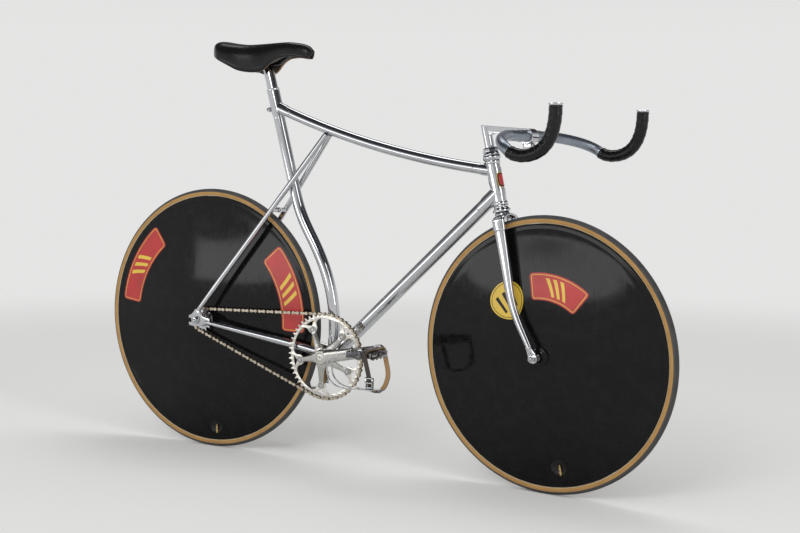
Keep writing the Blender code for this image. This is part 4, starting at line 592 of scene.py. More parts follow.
def grown(obj, name, inputs, build):
    # Geometry Nodes, with inputs named and typed by the table and set by their sockets' identifiers.
    tree = bpy.data.node_groups.new(name, "GeometryNodeTree")
    for way in ("INPUT", "OUTPUT"):
        tree.interface.new_socket("Geometry", in_out=way, socket_type="NodeSocketGeometry")
    step = addStep(obj, "NODES", node_group=tree)
    sorts = {bpy.types.Object: "Object", bpy.types.Material: "Material", int: "Int", float: "Float"}
    for label, value in inputs.items():
        socket = "NodeSocket" + next(word for sort, word in sorts.items() if isinstance(value, sort))
        step[tree.interface.new_socket(label, in_out="INPUT", socket_type=socket).identifier] = value
    n = Nodes(tree)
    result = build(n, n.add("NodeGroupInput").outputs)
    n.add("NodeGroupOutput", {0: result})
    settled(obj)


def filmShape(place, halfWide, halfHigh, corner, lean=0.0, columns=30, rows=18):
    # A thin film with rounded corners, laid on the surface that place(sideways, up) gives.
    points, faces = [], []
    for j in range(rows + 1):
        v = halfHigh * sin((j / rows - 0.5) * pi)
        over = max(0, abs(v) - halfHigh + corner)
        half = halfWide - corner + sqrt(max(0, corner**2 - over**2)) + 0.0001
        points += [place(half * (2 * i / columns - 1) + lean * v, v) for i in range(columns + 1)]
    for j in range(rows):
        for a in range(j * (columns + 1), j * (columns + 1) + columns):
            faces.append((a, a + 1, a + columns + 2, a + columns + 1))
    return points, faces


# Places that the pieces share

bike = {
    "rearRadius": 0.336,
    "frontRadius": 0.311,
    "wheelbase": 0.9328,
    "tyreWidth": 0.022,
    "bracketDrop": 0.0665,
    "pitch": 0.0127,
    "ringTeeth": 51,
    "cogTeeth": 14,
    "links": 94,
    "chainline": 0.042,
    "crankLength": 0.170,
    "crankRest": 10.3,
    "headAngle": 77.5,
    "rake": 0.040,
    "tyreToCrown": 0.0067,
    "crownHeight": 0.0130,
    "lowerStack": 0.019,
    "headTube": 0.102,
    "upperCup": 0.011,
    "topRace": 0.009,
    "locknut": 0.010,
    "steerRest": -5.86,
    "seatAngle": 75.0,
    "seatRise": 0.6505,
    "seatSetback": 0.1841,
    "postShown": 0.0663,
    "rearSpacing": 0.120,
    "frontSpacing": 0.100,
    "rearHub": 0.0475,
    "frontHub": 0.0405,
}


def pitchRadius(teeth):
    return bike["pitch"] / (2 * sin(pi / teeth))


ringRadius = pitchRadius(bike["ringTeeth"])
cogRadius = pitchRadius(bike["cogTeeth"])


def centresFor(links):
    # The distance between ring and cog that this many links fit, found by halving.
    low, high = ringRadius + cogRadius, ringRadius + cogRadius + links * bike["pitch"]
    for _ in range(60):
        middle = (low + high) / 2
        lean = asin((ringRadius - cogRadius) / middle)
        wrapped = ((pi + 2 * lean) * bike["ringTeeth"] + (pi - 2 * lean) * bike["cogTeeth"]) / (2 * pi)
        short = wrapped + 2 * middle * cos(lean) / bike["pitch"] < links
        low, high = (middle, high) if short else (low, middle)
    return (low + high) / 2


centres = centresFor(bike["links"])
bracket = Vector((0, 0, bike["rearRadius"] - bike["bracketDrop"]))
rearAxle = Vector((-sqrt(centres**2 - bike["bracketDrop"] ** 2), 0, bike["rearRadius"]))
frontAxle = Vector((rearAxle.x + bike["wheelbase"], 0, bike["frontRadius"]))
steering = wayAt(pi - radians(bike["headAngle"]))
ahead = wayAt(pi / 2 - radians(bike["headAngle"]))
axisFoot = frontAxle - ahead * bike["rake"]


def onAxis(distance):
    return axisFoot + steering * distance


crownUnder = sqrt((bike["frontRadius"] + bike["tyreToCrown"]) ** 2 - bike["rake"] ** 2)
crownRace = crownUnder + bike["crownHeight"]
headLow = crownRace + bike["lowerStack"]
headHigh = headLow + bike["headTube"]
cupTop = headHigh + bike["upperCup"]
raceTop = cupTop + bike["topRace"]
stackTop = raceTop + bike["locknut"]
turnPoint = onAxis(headLow)
steered = Matrix.Rotation(radians(bike["steerRest"]), 4, steering)
restTurn = Matrix.Translation(turnPoint) @ steered @ Matrix.Translation(-turnPoint)
postUp = wayAt(pi - radians(bike["seatAngle"]))
postBack = wayAt(1.5 * pi - radians(bike["seatAngle"]))
seatTop = bracket + Vector((-bike["seatSetback"], 0, bike["seatRise"]))

# Frame tubes and lugs

tubes = {
    "sides": 40,
    "seat": 0.0143,
    "top": 0.0127,
    "down": 0.0159,
    "head": 0.0159,
    "seatStay": 0.0070,
    "chainStay": 0.0105,
    "stayTip": 0.0058,
    "shell": 0.0200,
    "shellWidth": 0.068,
    "sag": 0.022,
    "lug": 0.0016,
    "thinLug": 0.0014,
    "tyreRoom": 0.027,
    "seatStraight": 0.27,
    "seatBend": 0.08,
    "seatLug": 0.044,
    "topLug": 0.0225,
    "downLug": 0.0300,
    "bore": 0.0140,
}


def seatTubeLine():
    # Straight below the lug, then round the rear tyre, then straight to the bracket.
    clear = bike["rearRadius"] + tubes["tyreRoom"] + tubes["seat"]
    start, end, steps = radians(24), radians(2), 14
    over = rearAxle + wayAt(start) * clear
    low = seatTop - postUp * tubes["seatStraight"]
    bend = tubes["seatBend"]
    line = [seatTop - postUp * (tubes["seatStraight"] * i / 6) for i in range(7)]
    line += cubicPath(low, low - postUp * bend, over - wayAt(start - pi / 2) * bend, over, steps)
    line += [rearAxle + wayAt(start + (end - start) * i / steps) * clear for i in range(1, steps + 1)]
    return line + straight(line[-1], bracket, 4)[1:]


def bowedLine(start, end, sag, steps):
    # An arc that hangs down between its ends.
    half = (end - start).length / 2
    radius = (half * half + sag * sag) / (2 * sag)
    along = (end - start).normalized()
    lift = along.cross(yAxis)
    centre = (start + end) / 2 + lift * (radius - sag)
    swings = [asin(half / radius) * (2 * i / steps - 1) for i in range(steps + 1)]
    return [centre + along * (radius * sin(a)) - lift * (radius * cos(a)) for a in swings]


topRear = seatTop - postUp * tubes["seatLug"]
topFront = onAxis(headHigh - tubes["topLug"])
downFront = onAxis(headLow + tubes["downLug"])
seatLine = seatTubeLine()
topLine = bowedLine(topRear, topFront, tubes["sag"], 40)
# The steerer's room inside the head tube is cut from the tubes and sockets that end there.
headBore = rodShape(onAxis(headLow - 0.02), onAxis(headHigh + 0.02), tubes["bore"], 48, yAxis)


def lugSleeve(line, radius, base, tip, wall=tubes["lug"], sides=64):
    # A socket round a tube whose edge runs out in points along the tube.
    _, at = measured(pathFrames(line, yAxis))
    edge = ((0, 1), (0.3, 1), (0.6, 1), (0.82, 1), (0.94, 1), (0.985, 0.85), (1, 0.5), (1.004, -0.15))
    rings = []
    for share, grow in edge:
        ring = []
        for a in angles(sides):
            point, _, across, up = at((base + (tip - base) * cos(a) ** 4) * share)
            r = radius + wall * grow
            ring.append(point + across * (r * cos(a)) + up * (r * sin(a)))
        rings.append(ring)
    return loft(rings)


def bothEnds(edge, radius, low, high):
    # A profile with the same edge at both ends, mirrored.
    return mm(*edge, at=(radius, low)) + mm(*[(r, -h) for r, h in reversed(edge)], at=(radius, high))


def buildSeatTube():
    pipe = tubeShape(seatLine, tubes["seat"], tubes["sides"])
    parts = [pipe, lugSleeve(seatLine, tubes["seat"], 0.058, 0.079)]
    band = mm((13.8, 0.2), (15.8, 0.4), (16.4, -0.4), (16.4, -4), (15.8, -5), (13.8, -5))
    parts.append(turnedShape(band, seatTop, postUp, 48, True, yAxis))
    ears = topRear - postUp * 0.003 + postBack * (tubes["seat"] + 0.0045)
    ear = softened(mm((-10, -5.2), (0.8, -5.2), (0.8, 5.2), (-10, 5.2)), 1)
    for side in (-1, 1):
        cheek = mm((4.8, side), (5.8, side * 1.8), (6, side * 8), (5.2, side * 9.4))
        parts.append(turnedShape(cheek, ears, yAxis, 32))
        parts.append(prismShape(ear, side * 0.005 - 0.004, side * 0.005 + 0.004, ears, postBack, postUp))
    addPiece("seatTube", "frame", parts, "chrome")
    bolt = [rodShape(ears - yAxis * 0.0100, ears + yAxis * 0.0100, 0.0030, 20)]
    for side in (-1, 1):
        bolt.append(softRod(ears + yAxis * (side * 0.0090), ears + yAxis * (side * 0.0135), 0.0047, 0.0008))
    # The bolt's hex socket and the lug's slot are dark films: painted shade for a recess and a gap.
    socket = turnedShape(mm((2.4, 0.2), (2.4, -0.3)), ears - yAxis * 0.0136, yAxis, 6)
    slotLine = [seatTop + postBack * 0.0160 + postUp * z for z in (0.0006, -0.0200, -0.0380, -0.0560)]
    dark = [socket, bandShape(slotLine, 0.0014, 0.0012, yAxis)]
    parts = dressed(bolt, "steel") + dressed(dark, "darkSteel")
    addPiece("seatBinder", "frame", parts, node="seat_binder_bolt")


def buildMainTubes():
    rear = topLine[0].lerp(topLine[1], 0.2)
    top = tubeShape([rear, *topLine[1:]], tubes["top"], tubes["sides"])
    down = tubeShape(straight(bracket, downFront, 8), tubes["down"], tubes["sides"])
    addPiece("topTube", "frame", [cutBy(top, headBore)], "chrome")
    addPiece("downTube", "frame", [cutBy(down, headBore)], "chrome")
    socket = lugSleeve(topLine, tubes["top"], 0.030, 0.052, 0.0013)
    addPiece("seatLugSocket", "frame", [socket], "chrome", "")


def buildHeadTube():
    outer = tubes["head"]
    edge = [(-1.2, 0), (0.4, 0), (1.3, 0.5), (1.6, 1.4), (1.6, 5.8), (1.1, 7), (0, 7.8)]
    parts = [steererShape(bothEnds(edge, outer, headLow, headHigh))]
    forward = list(reversed(topLine))
    sockets = [lugSleeve(forward, tubes["top"], 0.030, 0.050)]
    sockets.append(lugSleeve(straight(downFront, bracket, 10), tubes["down"], 0.036, 0.060))
    wrapEdge = [(-1.02, -0.2), (-1, 0.5), (-0.96, 1), (-0.5, 1), (0, 1)]
    wrapEdge += [(-share, grow) for share, grow in reversed(wrapEdge[:-1])]
    wraps = []
    for place, tall in ((headHigh - tubes["topLug"], 0.024), (headLow + tubes["downLug"], 0.032)):
        rings = []
        for share, grow in wrapEdge:
            ring = []
            for a in angles(56):
                half = tall * (0.22 + 0.78 * max(0, cos(a)) ** 2)
                r = outer + 0.0012 * grow
                ring.append(onAxis(place + half * share) - ahead * (r * cos(a)) + yAxis * (r * sin(a)))
            rings.append(ring)
        wraps.append(loft(rings))
    parts += [cutBy(shape, headBore) for shape in wraps + sockets]
    addPiece("headTube", "frame", parts, "chrome")


badge = {
    "height": 0.056,
    "turn": 0.20,
    "halfWide": 0.0125,
    "halfHigh": 0.0172,
    "corner": 0.0080,
}


def buildHeadBadge():
    # A small plain enamel shield on the front of the head tube.
    films = []
    layers = ((0.0002, 0, "panelYellow"), (0.0003, 0.0012, "blackPlastic"), (0.0004, 0.0045, "panelRed"))
    for lift, inset, finish in layers:

        def place(w, v):
            a = w / tubes["head"] - badge["turn"]
            out = (ahead * cos(a) + yAxis * sin(a)) * (tubes["head"] + lift)
            return onAxis(headLow + badge["height"] + v) + out

        halves = (badge["halfWide"] - inset, badge["halfHigh"] - inset)
        films.append((filmShape(place, *halves, badge["corner"] - inset * 0.6), finish))
    addPiece("headBadge", "frame", films, node="", facing=ahead)


def buildBracketShell():
    half = tubes["shellWidth"] / 2
    shell = bothEnds([(-3, 0), (-0.6, 0), (0, 0.6)], tubes["shell"], -half, half)
    parts = [turnedShape(shell, bracket, yAxis, 56, True)]
    parts.append(lugSleeve(list(reversed(seatLine)), tubes["seat"], 0.034, 0.052, tubes["thinLug"]))
    parts.append(lugSleeve(straight(bracket, downFront, 10), tubes["down"], 0.036, 0.056, tubes["thinLug"]))
    addPiece("bracketShell", "frame", parts, "chrome", "bottom_bracket_shell")
    thread = [(9, 20), (16.8, 20), (16.8, 34.2)]
    right = mm(*thread, (18.8, 34.4), (19, 36.6), (12, 38.5), (9, 38.8))
    left = mm(*thread, (20.8, 34.4), (21.2, 35), (21.2, 36.6), (20.5, 37.2), (12, 38.8), (9, 39))
    for side, way, cup in (("Right", -yAxis, right), ("Left", yAxis, left)):
        shape = turnedShape(cup, bracket, way, 48, True)
        addPiece("bracketCup" + side, "frame", [shape], "steel", "bb_cup_" + side.lower())


buildSeatTube()
buildMainTubes()
buildHeadTube()
buildBracketShell()
buildHeadBadge()
print("main tubes and lugs made")

# Rear end

rearEnd = {
    "plate": 0.006,
    "slot": 0.0053,
    "slotMouth": -0.024,
    "slotEnd": 0.004,
    "nut": 0.0085,
    "nutWidth": 0.010,
    "washer": 0.0105,
    "slope": (1, 0, 1.26),
    "narrow": 0.0260,
    "bridge": 0.585,
}
plateIn = bike["rearSpacing"] / 2
plateOut = plateIn + rearEnd["plate"]
plateMiddle = (plateIn + plateOut) / 2
stayFoot = rearAxle + Vector((0.0020, plateMiddle, 0.0235))


def buildTrackEnds():
    wide, mouth, end = rearEnd["slot"], rearEnd["slotMouth"], rearEnd["slotEnd"]
    outline = [(mouth, wide)] + mm(
        (-24.5, 9), (-23.5, 12.2), (-18, 14), (-12.5, 17.2), (-8, 22.5), (-5, 26.2), (0, 29), (5.2, 29.6),
        (7.5, 27), (10.5, 21.5), (15, 15), (21, 10.2), (30, 7.6), (40, 6.2), (42.5, 3), (42.5, -3),
        (40, -6.2), (28, -8.2), (18, -12), (8, -14.6), (-4, -15.2), (-14, -14.5), (-21.5, -13.5),
        (-24.5, -11),
    )
    curve = [pi * i / 16 for i in range(17)]
    outline += [(mouth, -wide)] + [(end + wide * sin(a), -wide * cos(a)) for a in curve]
    plate = prismShape([(b, a) for a, b in outline], plateIn, plateOut, rearAxle, zAxis, xAxis)
    addPair("trackEnd", "frame", [plate], "chrome", bevel=0.0006, segments=3)


def seatStayEnds():
    # The stays lean in beside the seat tube and meet under the top tube.
    slope = Vector(rearEnd["slope"]).normalized()
    across = Vector((postUp.z, 0, -postUp.x))
    reach = (seatTop - stayFoot).dot(across) / slope.dot(across)
    coarse = bowedLine(topRear, topFront, tubes["sag"], 8)
    nearest = min(coarse, key=lambda p: (p - stayFoot).cross(slope).length)
    far = (nearest - stayFoot).dot(slope)
    besideTube = (tubes["seat"] + tubes["seatStay"] + gap - plateMiddle) / reach
    besideTwin = (tubes["seatStay"] + gap - plateMiddle) / far
    direction = slope + yAxis * max(besideTube, besideTwin)
    return stayFoot, stayFoot + direction * (far - 0.008)


def buildSeatStays():
    low, high = seatStayEnds()
    line = [low.lerp(high, s) for s in (0, 0.004, 0.012, 0.03, 0.06, 0.10, 0.14, 0.3, 0.5, 0.7, 0.9, 1)]
    tip, full = tubes["stayTip"], tubes["seatStay"]
    radii = [tip * 0.45, tip * 0.80, tip * 0.97, tip, tip + 0.0004, full - 0.0004] + [full] * 6
    addPair("seatStay", "frame", [tubeShape(line, radii, tubes["sides"] - 8)], "chrome")
    at = low.lerp(high, rearEnd["bridge"])
    other = Vector((at.x, -at.y, at.z))
    waist = [at.lerp(other, s) for s in (0, 0.08, 0.18, 0.4, 0.6, 0.82, 0.92, 1)]
    radii = [0.0066, 0.0060, 0.0053, 0.0052, 0.0052, 0.0053, 0.0060, 0.0066]
    boss = turnedShape(mm((3, -7), (6.2, -7), (6.2, 7), (3, 7)), (at + other) / 2, xAxis, 28, True)
    parts = [tubeShape(waist, radii, 28, zAxis), boss]
    addPiece("stayBridge", "frame", parts, "chrome", "seat_stay_bridge")


def buildChainStays():
    narrow, full = rearEnd["narrow"], tubes["chainStay"]
    foot = rearAxle + Vector((0.024, plateMiddle, -0.002))
    start = Vector((0, narrow, bracket.z + 0.002))
    knee = start.lerp(foot, 0.34)
    knee.y = narrow + 0.001
    turn = knee + xAxis * 0.030
    bend = cubicPath(turn, knee + xAxis * 0.012, knee.lerp(foot, 0.05), knee.lerp(foot, 0.13), 10)
    ends = [bend[-1].lerp(foot, s) for s in (0.3, 0.6, 0.85, 0.93, 0.97, 0.99, 1)]
    line = [start, start.lerp(turn, 0.5), turn, *bend, *ends]
    wide, tip = full - 0.0027, tubes["stayTip"]
    radii = []
    for p in line:
        s = (p.x - start.x) / (foot.x - start.x)
        p.z = start.z + (foot.z - start.z) * s
        share = min(max((s - 0.45) / 0.50, 0), 1)
        close = min((1 - s) / 0.03, 1)
        shut = 0.45 + 0.55 * sqrt(max(0, 1 - (1 - close) ** 2))
        radii.append((((tip - wide) * share + wide) * shut, ((tip - full) * share + full) * shut))
    addPair("chainStay", "frame", [tubeShape(line, radii, tubes["sides"] - 8)], "chrome")


def nutShapes(side, face, centre):
    # A chamfered hexagon on a plain washer.
    out = yAxis * side
    edge = mm((-0.3, 0), (0, 0.4), (0, 1.6), (-0.4, 2), at=(rearEnd["washer"], 0))
    washer = turnedShape([(0.0053, 0), *edge, (0.0053, 0.0020)], centre + out * face, out, 40, True)
    rings = []
    for grow, depth in ((0.93, 0.0020), (1, 0.0028), (1, 0.0088), (0.94, 0.0098), (0.66, 0.0101)):
        flats = [polygonReach(a, rearEnd["nut"], 6) for a in angles(36)]
        radii = flats if grow == 1 else [min(flat, rearEnd["nut"] * grow) for flat in flats]
        rings.append(ringOf(centre + out * (face + depth), xAxis, zAxis, radii))
    return [washer, loft(rings)]


def buildAxle(word, body, spacing, hubHalf, plate, centre):
    # Cones and locknuts inside the plates, a ridged thread outside them, and a nut at each end.
    end = spacing / 2 + plate + rearEnd["nutWidth"] + 0.0028
    lock = spacing / 2 - gap
    cone = mm((5, -4), (8.5, 0), (8.5, 1.6), (7.8, 2), (7.8, 3.2), (8.6, 3.6), at=(0, hubHalf + 0.0004))
    count = 44
    thread = [(0.0050 if i % 2 else 0.0045, lock + (end - lock) * i / count) for i in range(count + 1)]
    shapes = [rodShape(centre - yAxis * lock, centre + yAxis * lock, 0.0045, 20)]
    for side in (-1, 1):
        shapes.append(turnedShape([*cone, (0.0086, lock), (0.0050, lock)], centre, yAxis * side, 32))
        shapes.append(turnedShape([*thread, (0.0035, end + 0.0006)], centre, yAxis * side, 24))
    addPiece(word + "Axle", body, shapes, "steel")
    for side, way in (("Right", -1), ("Left", 1)):
        nut = nutShapes(way, spacing / 2 + plate + gap, centre)
        addPiece(word + "Nut" + side, body, nut, "chrome", f"{word}_axle_nut_{side.lower()}")


buildTrackEnds()
buildSeatStays()
buildChainStays()
buildAxle("rear", "frame", bike["rearSpacing"], bike["rearHub"], rearEnd["plate"], rearAxle)
print("rear end made")

# Headset and fork

steer = {
    "cup": 0.0205,
    "nut": 0.0180,
    "nutBore": 0.0116,
    "steerer": 0.0127,
    "bladeSpread": 0.031,
    "bladeDepth": 0.0140,
    "bladeWidth": 0.0090,
    "tipDepth": 0.0062,
    "tipWidth": 0.0052,
    "tip": 0.005,
    "tab": 0.0105,
    "lead": 0.005,
    "bendStart": 0.160,
    "bendKnee": 0.115,
    "bendEnd": 0.075,
    "voxel": 0.0007,
    "smoothing": 5,
}


def buildHeadset():
    r = steer["cup"]
    low = headLow - bike["lowerStack"]
    lower = mm((13.1, -0.3), (13.1, -9), at=(0, headLow))
    lower += mm((-4, 3.5), (-1.2, 3.5), (-0.2, 4.2), (0, 5.4), (0, 8.2), (-0.5, 9.4), at=(r, low))
    lower += mm((-2.2, 10.4), (-3.6, 12), (-4.2, 14), (-4, 16), at=(r, low))
    lower += mm((17.6, -1.2), (17.4, -0.3), at=(0, headLow))
    upper = mm((13.1, 0.3), (17.4, 0.3), (17.7, 1.2), (18.4, 2.8), at=(0, headHigh))
    upper += mm((-0.4, 4.2), (0, 5.4), at=(r, headHigh))
    upper += mm((0, -1.4), (-0.6, -0.4), (-1.8, 0), at=(r, cupTop)) + [(0.0131, cupTop)]
    race = [(0.0130, cupTop + 0.0004)]
    race += mm((-2.2, 0.4), (-1, 0.9), (-0.8, 2), (-1, 3.4), (-2, 4.2), (-2.6, 5.6), at=(r, cupTop))
    race += mm((-3, -1.2), (-3.4, -0.3), at=(r, raceTop)) + [(0.0130, raceTop - gap)]
    for name, body, profile, node in (
        ("headsetLower", "frame", lower, "headset_cup_lower"),
        ("headsetUpper", "frame", upper, "headset_cup_upper"),
        ("headsetRace", "fork", race, "headset_top_race"),
    ):
        addPiece(name, body, [steererShape(profile)], "chrome", node)
    first, second = squareTo(steering, yAxis)
    nut = [(0.95, raceTop), (1, raceTop + 0.0006)]
    nut += [(1, stackTop - 0.0026), (0.965, stackTop - 0.0014), (0.90, stackTop - 0.0006), (0.80, stackTop)]
    rings = []
    for grow, height in nut:
        radii = [polygonReach(a, steer["nut"], 8) * grow for a in angles(48)]
        rings.append(ringOf(onAxis(height), first, second, radii))
    rings += [ringOf(onAxis(h), first, second, [steer["nutBore"]] * 48) for h in (stackTop, raceTop)]
    addPiece("headsetNut", "fork", [loft(rings, True)], "chrome", "headset_locknut")


def bladePoint(along):
    # The right blade's middle: straight above, raked forward in a smooth bend below.
    lead, knee, top, end = steer["lead"], steer["bendKnee"], steer["bendStart"], steer["bendEnd"]
    rake = bike["rake"] - lead
    if along >= top:
        forward = lead
    elif along <= end:
        forward = lead + rake * (knee - along) / knee
    else:
        forward = lead + rake * (knee - end) / knee * ((top - along) / (top - end)) ** 2
    tipOut = bike["frontSpacing"] / 2 + steer["tip"] / 2
    out = steer["bladeSpread"] + (tipOut - steer["bladeSpread"]) * (1 - along / crownUnder)
    return onAxis(along) + ahead * forward - yAxis * out


def buildBlades():
    full = [0.30 - 0.012 * i for i in range(24)]
    stations = [crownUnder - 0.0012] + [s for s in full if s > 0.016] + [0.016, 0.013, 0.0115, 0.0108]
    radii = []
    for s in stations:
        share = min(max(s / crownUnder, 0), 1)
        shut = 1 if s >= 0.016 else sqrt(max(0.10, 1 - ((0.016 - s) / 0.0056) ** 2))
        wide = steer["tipWidth"] + (steer["bladeWidth"] - steer["tipWidth"]) * share**0.8
        deep = steer["tipDepth"] + (steer["bladeDepth"] - steer["tipDepth"]) * share
        radii.append((wide * shut, deep * shut))
    pipe = tubeShape([bladePoint(s) for s in stations], radii, 40)
    way = bladePoint(0.02) - bladePoint(0.05)
    lift = -Vector((way.x, 0, way.z)).normalized()
    curve = [pi + pi * i / 16 for i in range(17)]
    side = mm((9.8, 8), (7.6, 16), (6.2, 24), (5.6, 30))
    tab = [(steer["tab"] * cos(a), steer["tab"] * sin(a)) for a in curve] + side
    tab += [(-a, b) for a, b in reversed(side)]
    face = bike["frontSpacing"] / 2
    plate = prismShape(tab, face, face + steer["tip"], frontAxle, lift.cross(yAxis), lift)
    plate = flipped(plate) if plate[0][0].y > 0 else plate
    addPair("forkBlade", "fork", [pipe, plate], "chrome", ("Right", "Left"), bevel=0.0005)


def buildCrown():
    half = steer["bladeSpread"] + steer["bladeWidth"] + 0.0015
    rings = []
    for i in range(13):
        y = -1 + 2 * i / 12
        edge = max(0, (abs(y) - 0.62) / 0.38)
        depth = (steer["bladeDepth"] + 0.0012) * (1 - 0.42 * edge**2.4)
        top = crownRace - 0.0075 * min(1, abs(y) / 0.85) ** 1.3 - 0.0060 * edge**2
        bottom = crownUnder + 0.0050 - 0.0100 * min(1, abs(y) / 0.75) ** 2
        centre = axisFoot + ahead * steer["lead"] + yAxis * (y * half)
        outline = softened([(1, 0), (1, 1), (-1, 1), (-1, 0)], 2, 0.22)
        flat = [(u * depth, bottom + (top - bottom) * v) for u, v in outline]
        rings.append([centre + ahead * u + steering * v for u, v in flat])
    line = [bladePoint(s) for s in (crownUnder - 0.0005, 0.300, 0.292, 0.288, 0.2875)]
    walls = [0.0013, 0.0013, 0.0013, 0.0006, -0.0002]
    socket = tubeShape(line, [(steer["bladeWidth"] + w, steer["bladeDepth"] + w) for w in walls], 40)
    body = fused([loft(rings), socket, flipped(socket)], steer["voxel"], steer["smoothing"])
    race = mm((13, -4), (16.8, -4), (16.8, 0.8), (16, 1.8), (14.6, 3), (13, 3), at=(0, crownRace))
    pipe = rodShape(onAxis(crownRace - 0.006), onAxis(stackTop - 0.003), steer["steerer"], 40, yAxis)
    parts = [(body, "chrome"), (steererShape(race, 48), "steel"), (pipe, "chrome")]
    addPiece("forkCrown", "fork", parts, crease=50)


buildHeadset()
buildBlades()
buildCrown()
buildAxle("front", "fork", bike["frontSpacing"], bike["frontHub"], steer["tip"], frontAxle)
print("headset and fork made")

# Wheels

wheelSizes = {
    "around": 160,
    "rimWide": 0.0205,
    "rimDeep": 0.012,
    "tyreSeat": 0.0072,
    "step": 0.0006,
    "bulge": 0.0165,
    "flange": 0.0225,
    "shell": 0.0150,
    "treadAngle": 74,
    "pocket": 0.0175,
    "pocketDeep": 0.0075,
}
rimSide = wheelSizes["rimWide"] / 2


def discSide(radius, rim):
    # Half the disc's width at a radius.
    deep, step = wheelSizes["rimDeep"], wheelSizes["step"]
    if radius >= rim - deep:
        return rimSide + step * (rim - radius) / deep
    share = min((rim - deep - radius) / (rim - deep - wheelSizes["flange"] - 0.012), 1)
    return rimSide + step + wheelSizes["bulge"] * sin(share * pi / 2) ** 1.2


def buildTyre(word, centre, radius):
    half = bike["tyreWidth"] / 2
    section, count = [], 44
    for a in [radians(-131 + 262 * i / count) for i in range(count + 1)]:
        inTread = max(0, min(1, (radians(wheelSizes["treadAngle"]) - abs(a)) / radians(3)))
        r = half - 0.0003 + 0.0003 * inTread
        section.append((radius - half + r * cos(a), r * sin(a), half * a))
    around, size = wheelSizes["around"], len(section)
    rings = [[centre + wayAt(a) * r + yAxis * y for r, y, _ in section] for a in angles(around)]
    wrap = []
    for i in range(around):
        u0, u1 = (2 * pi * k / around * radius for k in (i, i + 1))
        for j in range(size):
            m = (j + 1) % size
            v0, v1 = section[j][2], section[m][2] if m else section[j][2]
            wrap.append(((u0, v0), (u0, v1), (u1, v1), (u1, v0)))
    addPiece(word + "Tyre", word + "_wheel", [loft(rings, True)], "tyre", crease=50, wrap=wrap)


def buildDisc(word, centre, rim, pocketAngle, pocketRadius):
    edge = rim - wheelSizes["rimDeep"]
    inner = wheelSizes["flange"] + 0.012
    half = [(rim, 0.006), *mm((0, -0.8), (-0.3, -0.2), (-1, 0), at=(rim, rimSide))]
    half.append((rim - 0.0040, discSide(rim - 0.004, rim)))
    half += mm((1.2, 0.6), (0.6, 0.1), (0, 0.2), at=(edge, rimSide))
    half += [(r, discSide(r, rim)) for r in [edge + (inner - edge) * i / 30 for i in range(1, 31)]]
    half += [(r, half[-1][1]) for r in (wheelSizes["flange"] + 0.004, wheelSizes["shell"] + gap)]
    half += [(r, -y) for r, y in reversed(half)]
    shell = turnedShape(half, centre, yAxis, wheelSizes["around"], True)
    # The dish through which the valve is reached, on the right side only
    wide, deep = wheelSizes["pocket"], wheelSizes["pocketDeep"]
    ball = (wide**2 + deep**2) / (2 * deep)
    away = wayAt(radians(pocketAngle))
    face = centre + away * pocketRadius - yAxis * discSide(pocketRadius, rim)
    middle = face - yAxis * (ball - deep)
    bowl = [(ball * sin(pi * i / 24), -ball * cos(pi * i / 24)) for i in range(1, 24)]
    points, faces = cutBy(shell, turnedShape(bowl, middle, yAxis, 40))
    picks = []
    for one in faces:
        at = sum((points[i] for i in one), Vector()) / len(one)
        picks.append("blackPlastic" if (at - middle).length < ball + 0.0002 else "discShell")
    addPiece(word + "Disc", word + "_wheel", [((points, faces), picks)], crease=24)
    foot = face + yAxis * 0.0042 + away * (wide - 0.0015)
    stem = mm((3, 0), (3, 5), (4.2, 5.2), (4.2, 8.2), (2.9, 8.6), (2.9, 18), (2, 19), (2, 22.5), (1.2, 23.2))
    stem = turnedShape(stem, foot, -away, 20)
    addPiece(word + "Valve", word + "_wheel", [stem], "brass", "")


def buildHub(word, centre, hubHalf, finish):
    out = rimSide + wheelSizes["step"] + wheelSizes["bulge"] + gap
    flange = mm((-0.6, 0), (0, 0.6), (0, 1.8), (-1, 2.8), (-5, 3.2), at=(wheelSizes["flange"], out))
    half = [(wheelSizes["shell"], out), *flange, *mm((15, 4), (12.2, 5.6), (11.2, 8), at=(0, out))]
    half += [*mm((11, -1), (10.4, 0), at=(0, hubHalf)), (0.0055, hubHalf)]
    shape = turnedShape([(r, -y) for r, y in reversed(half)] + half, centre, yAxis, 56, True)
    addPiece(word + "Hub", word + "_wheel", [shape], finish)


def bandFilms(place, halfWide, halfHigh, corner, ground, keyline, spots, barWide, barHigh, lean=0.55):
    # A coloured band with a thin line inside its edge, and bars of the line's colour across it.
    films = []
    for inset, lift, finish in ((0, 0.0002, ground), (0.0035, 0.0003, keyline), (0.0050, 0.0004, ground)):
        film = filmShape(place(lift), halfWide - inset, halfHigh - inset, max(corner - inset, 0.001))
        films.append((film, finish))
    for spot in spots:
        bar = filmShape(place(0.0005, spot), barWide, barHigh, 0.0006, lean, 4, 16)
        films.append((bar, keyline))
    return films


def panelFilms(centre, rim, way, middle, radius, *band):
    def place(lift, spot=0.0):
        # Where a film lies: sideways runs round the wheel, up runs out from its middle.
        def at(w, v):
            out = yAxis * (way * (discSide(radius + v, rim) + lift))
            return centre + wayAt(radians(middle) + (w + spot) / radius) * (radius + v) + out

        return at

    return bandFilms(place, *band)


# A band's colours, and the places, half width, half height and lean of its bars
rearBars = ("panelRed", "panelYellow", (-0.022, 0, 0.022), 0.0050, 0.0205)
frontBars = ("panelRed", "panelYellow", (-0.016, 0, 0.016), 0.0040, 0.0190)
uprightBars = ("panelYellow", "blackPlastic", (-0.018, 0, 0.018), 0.0036, 0.0210, 0.0)
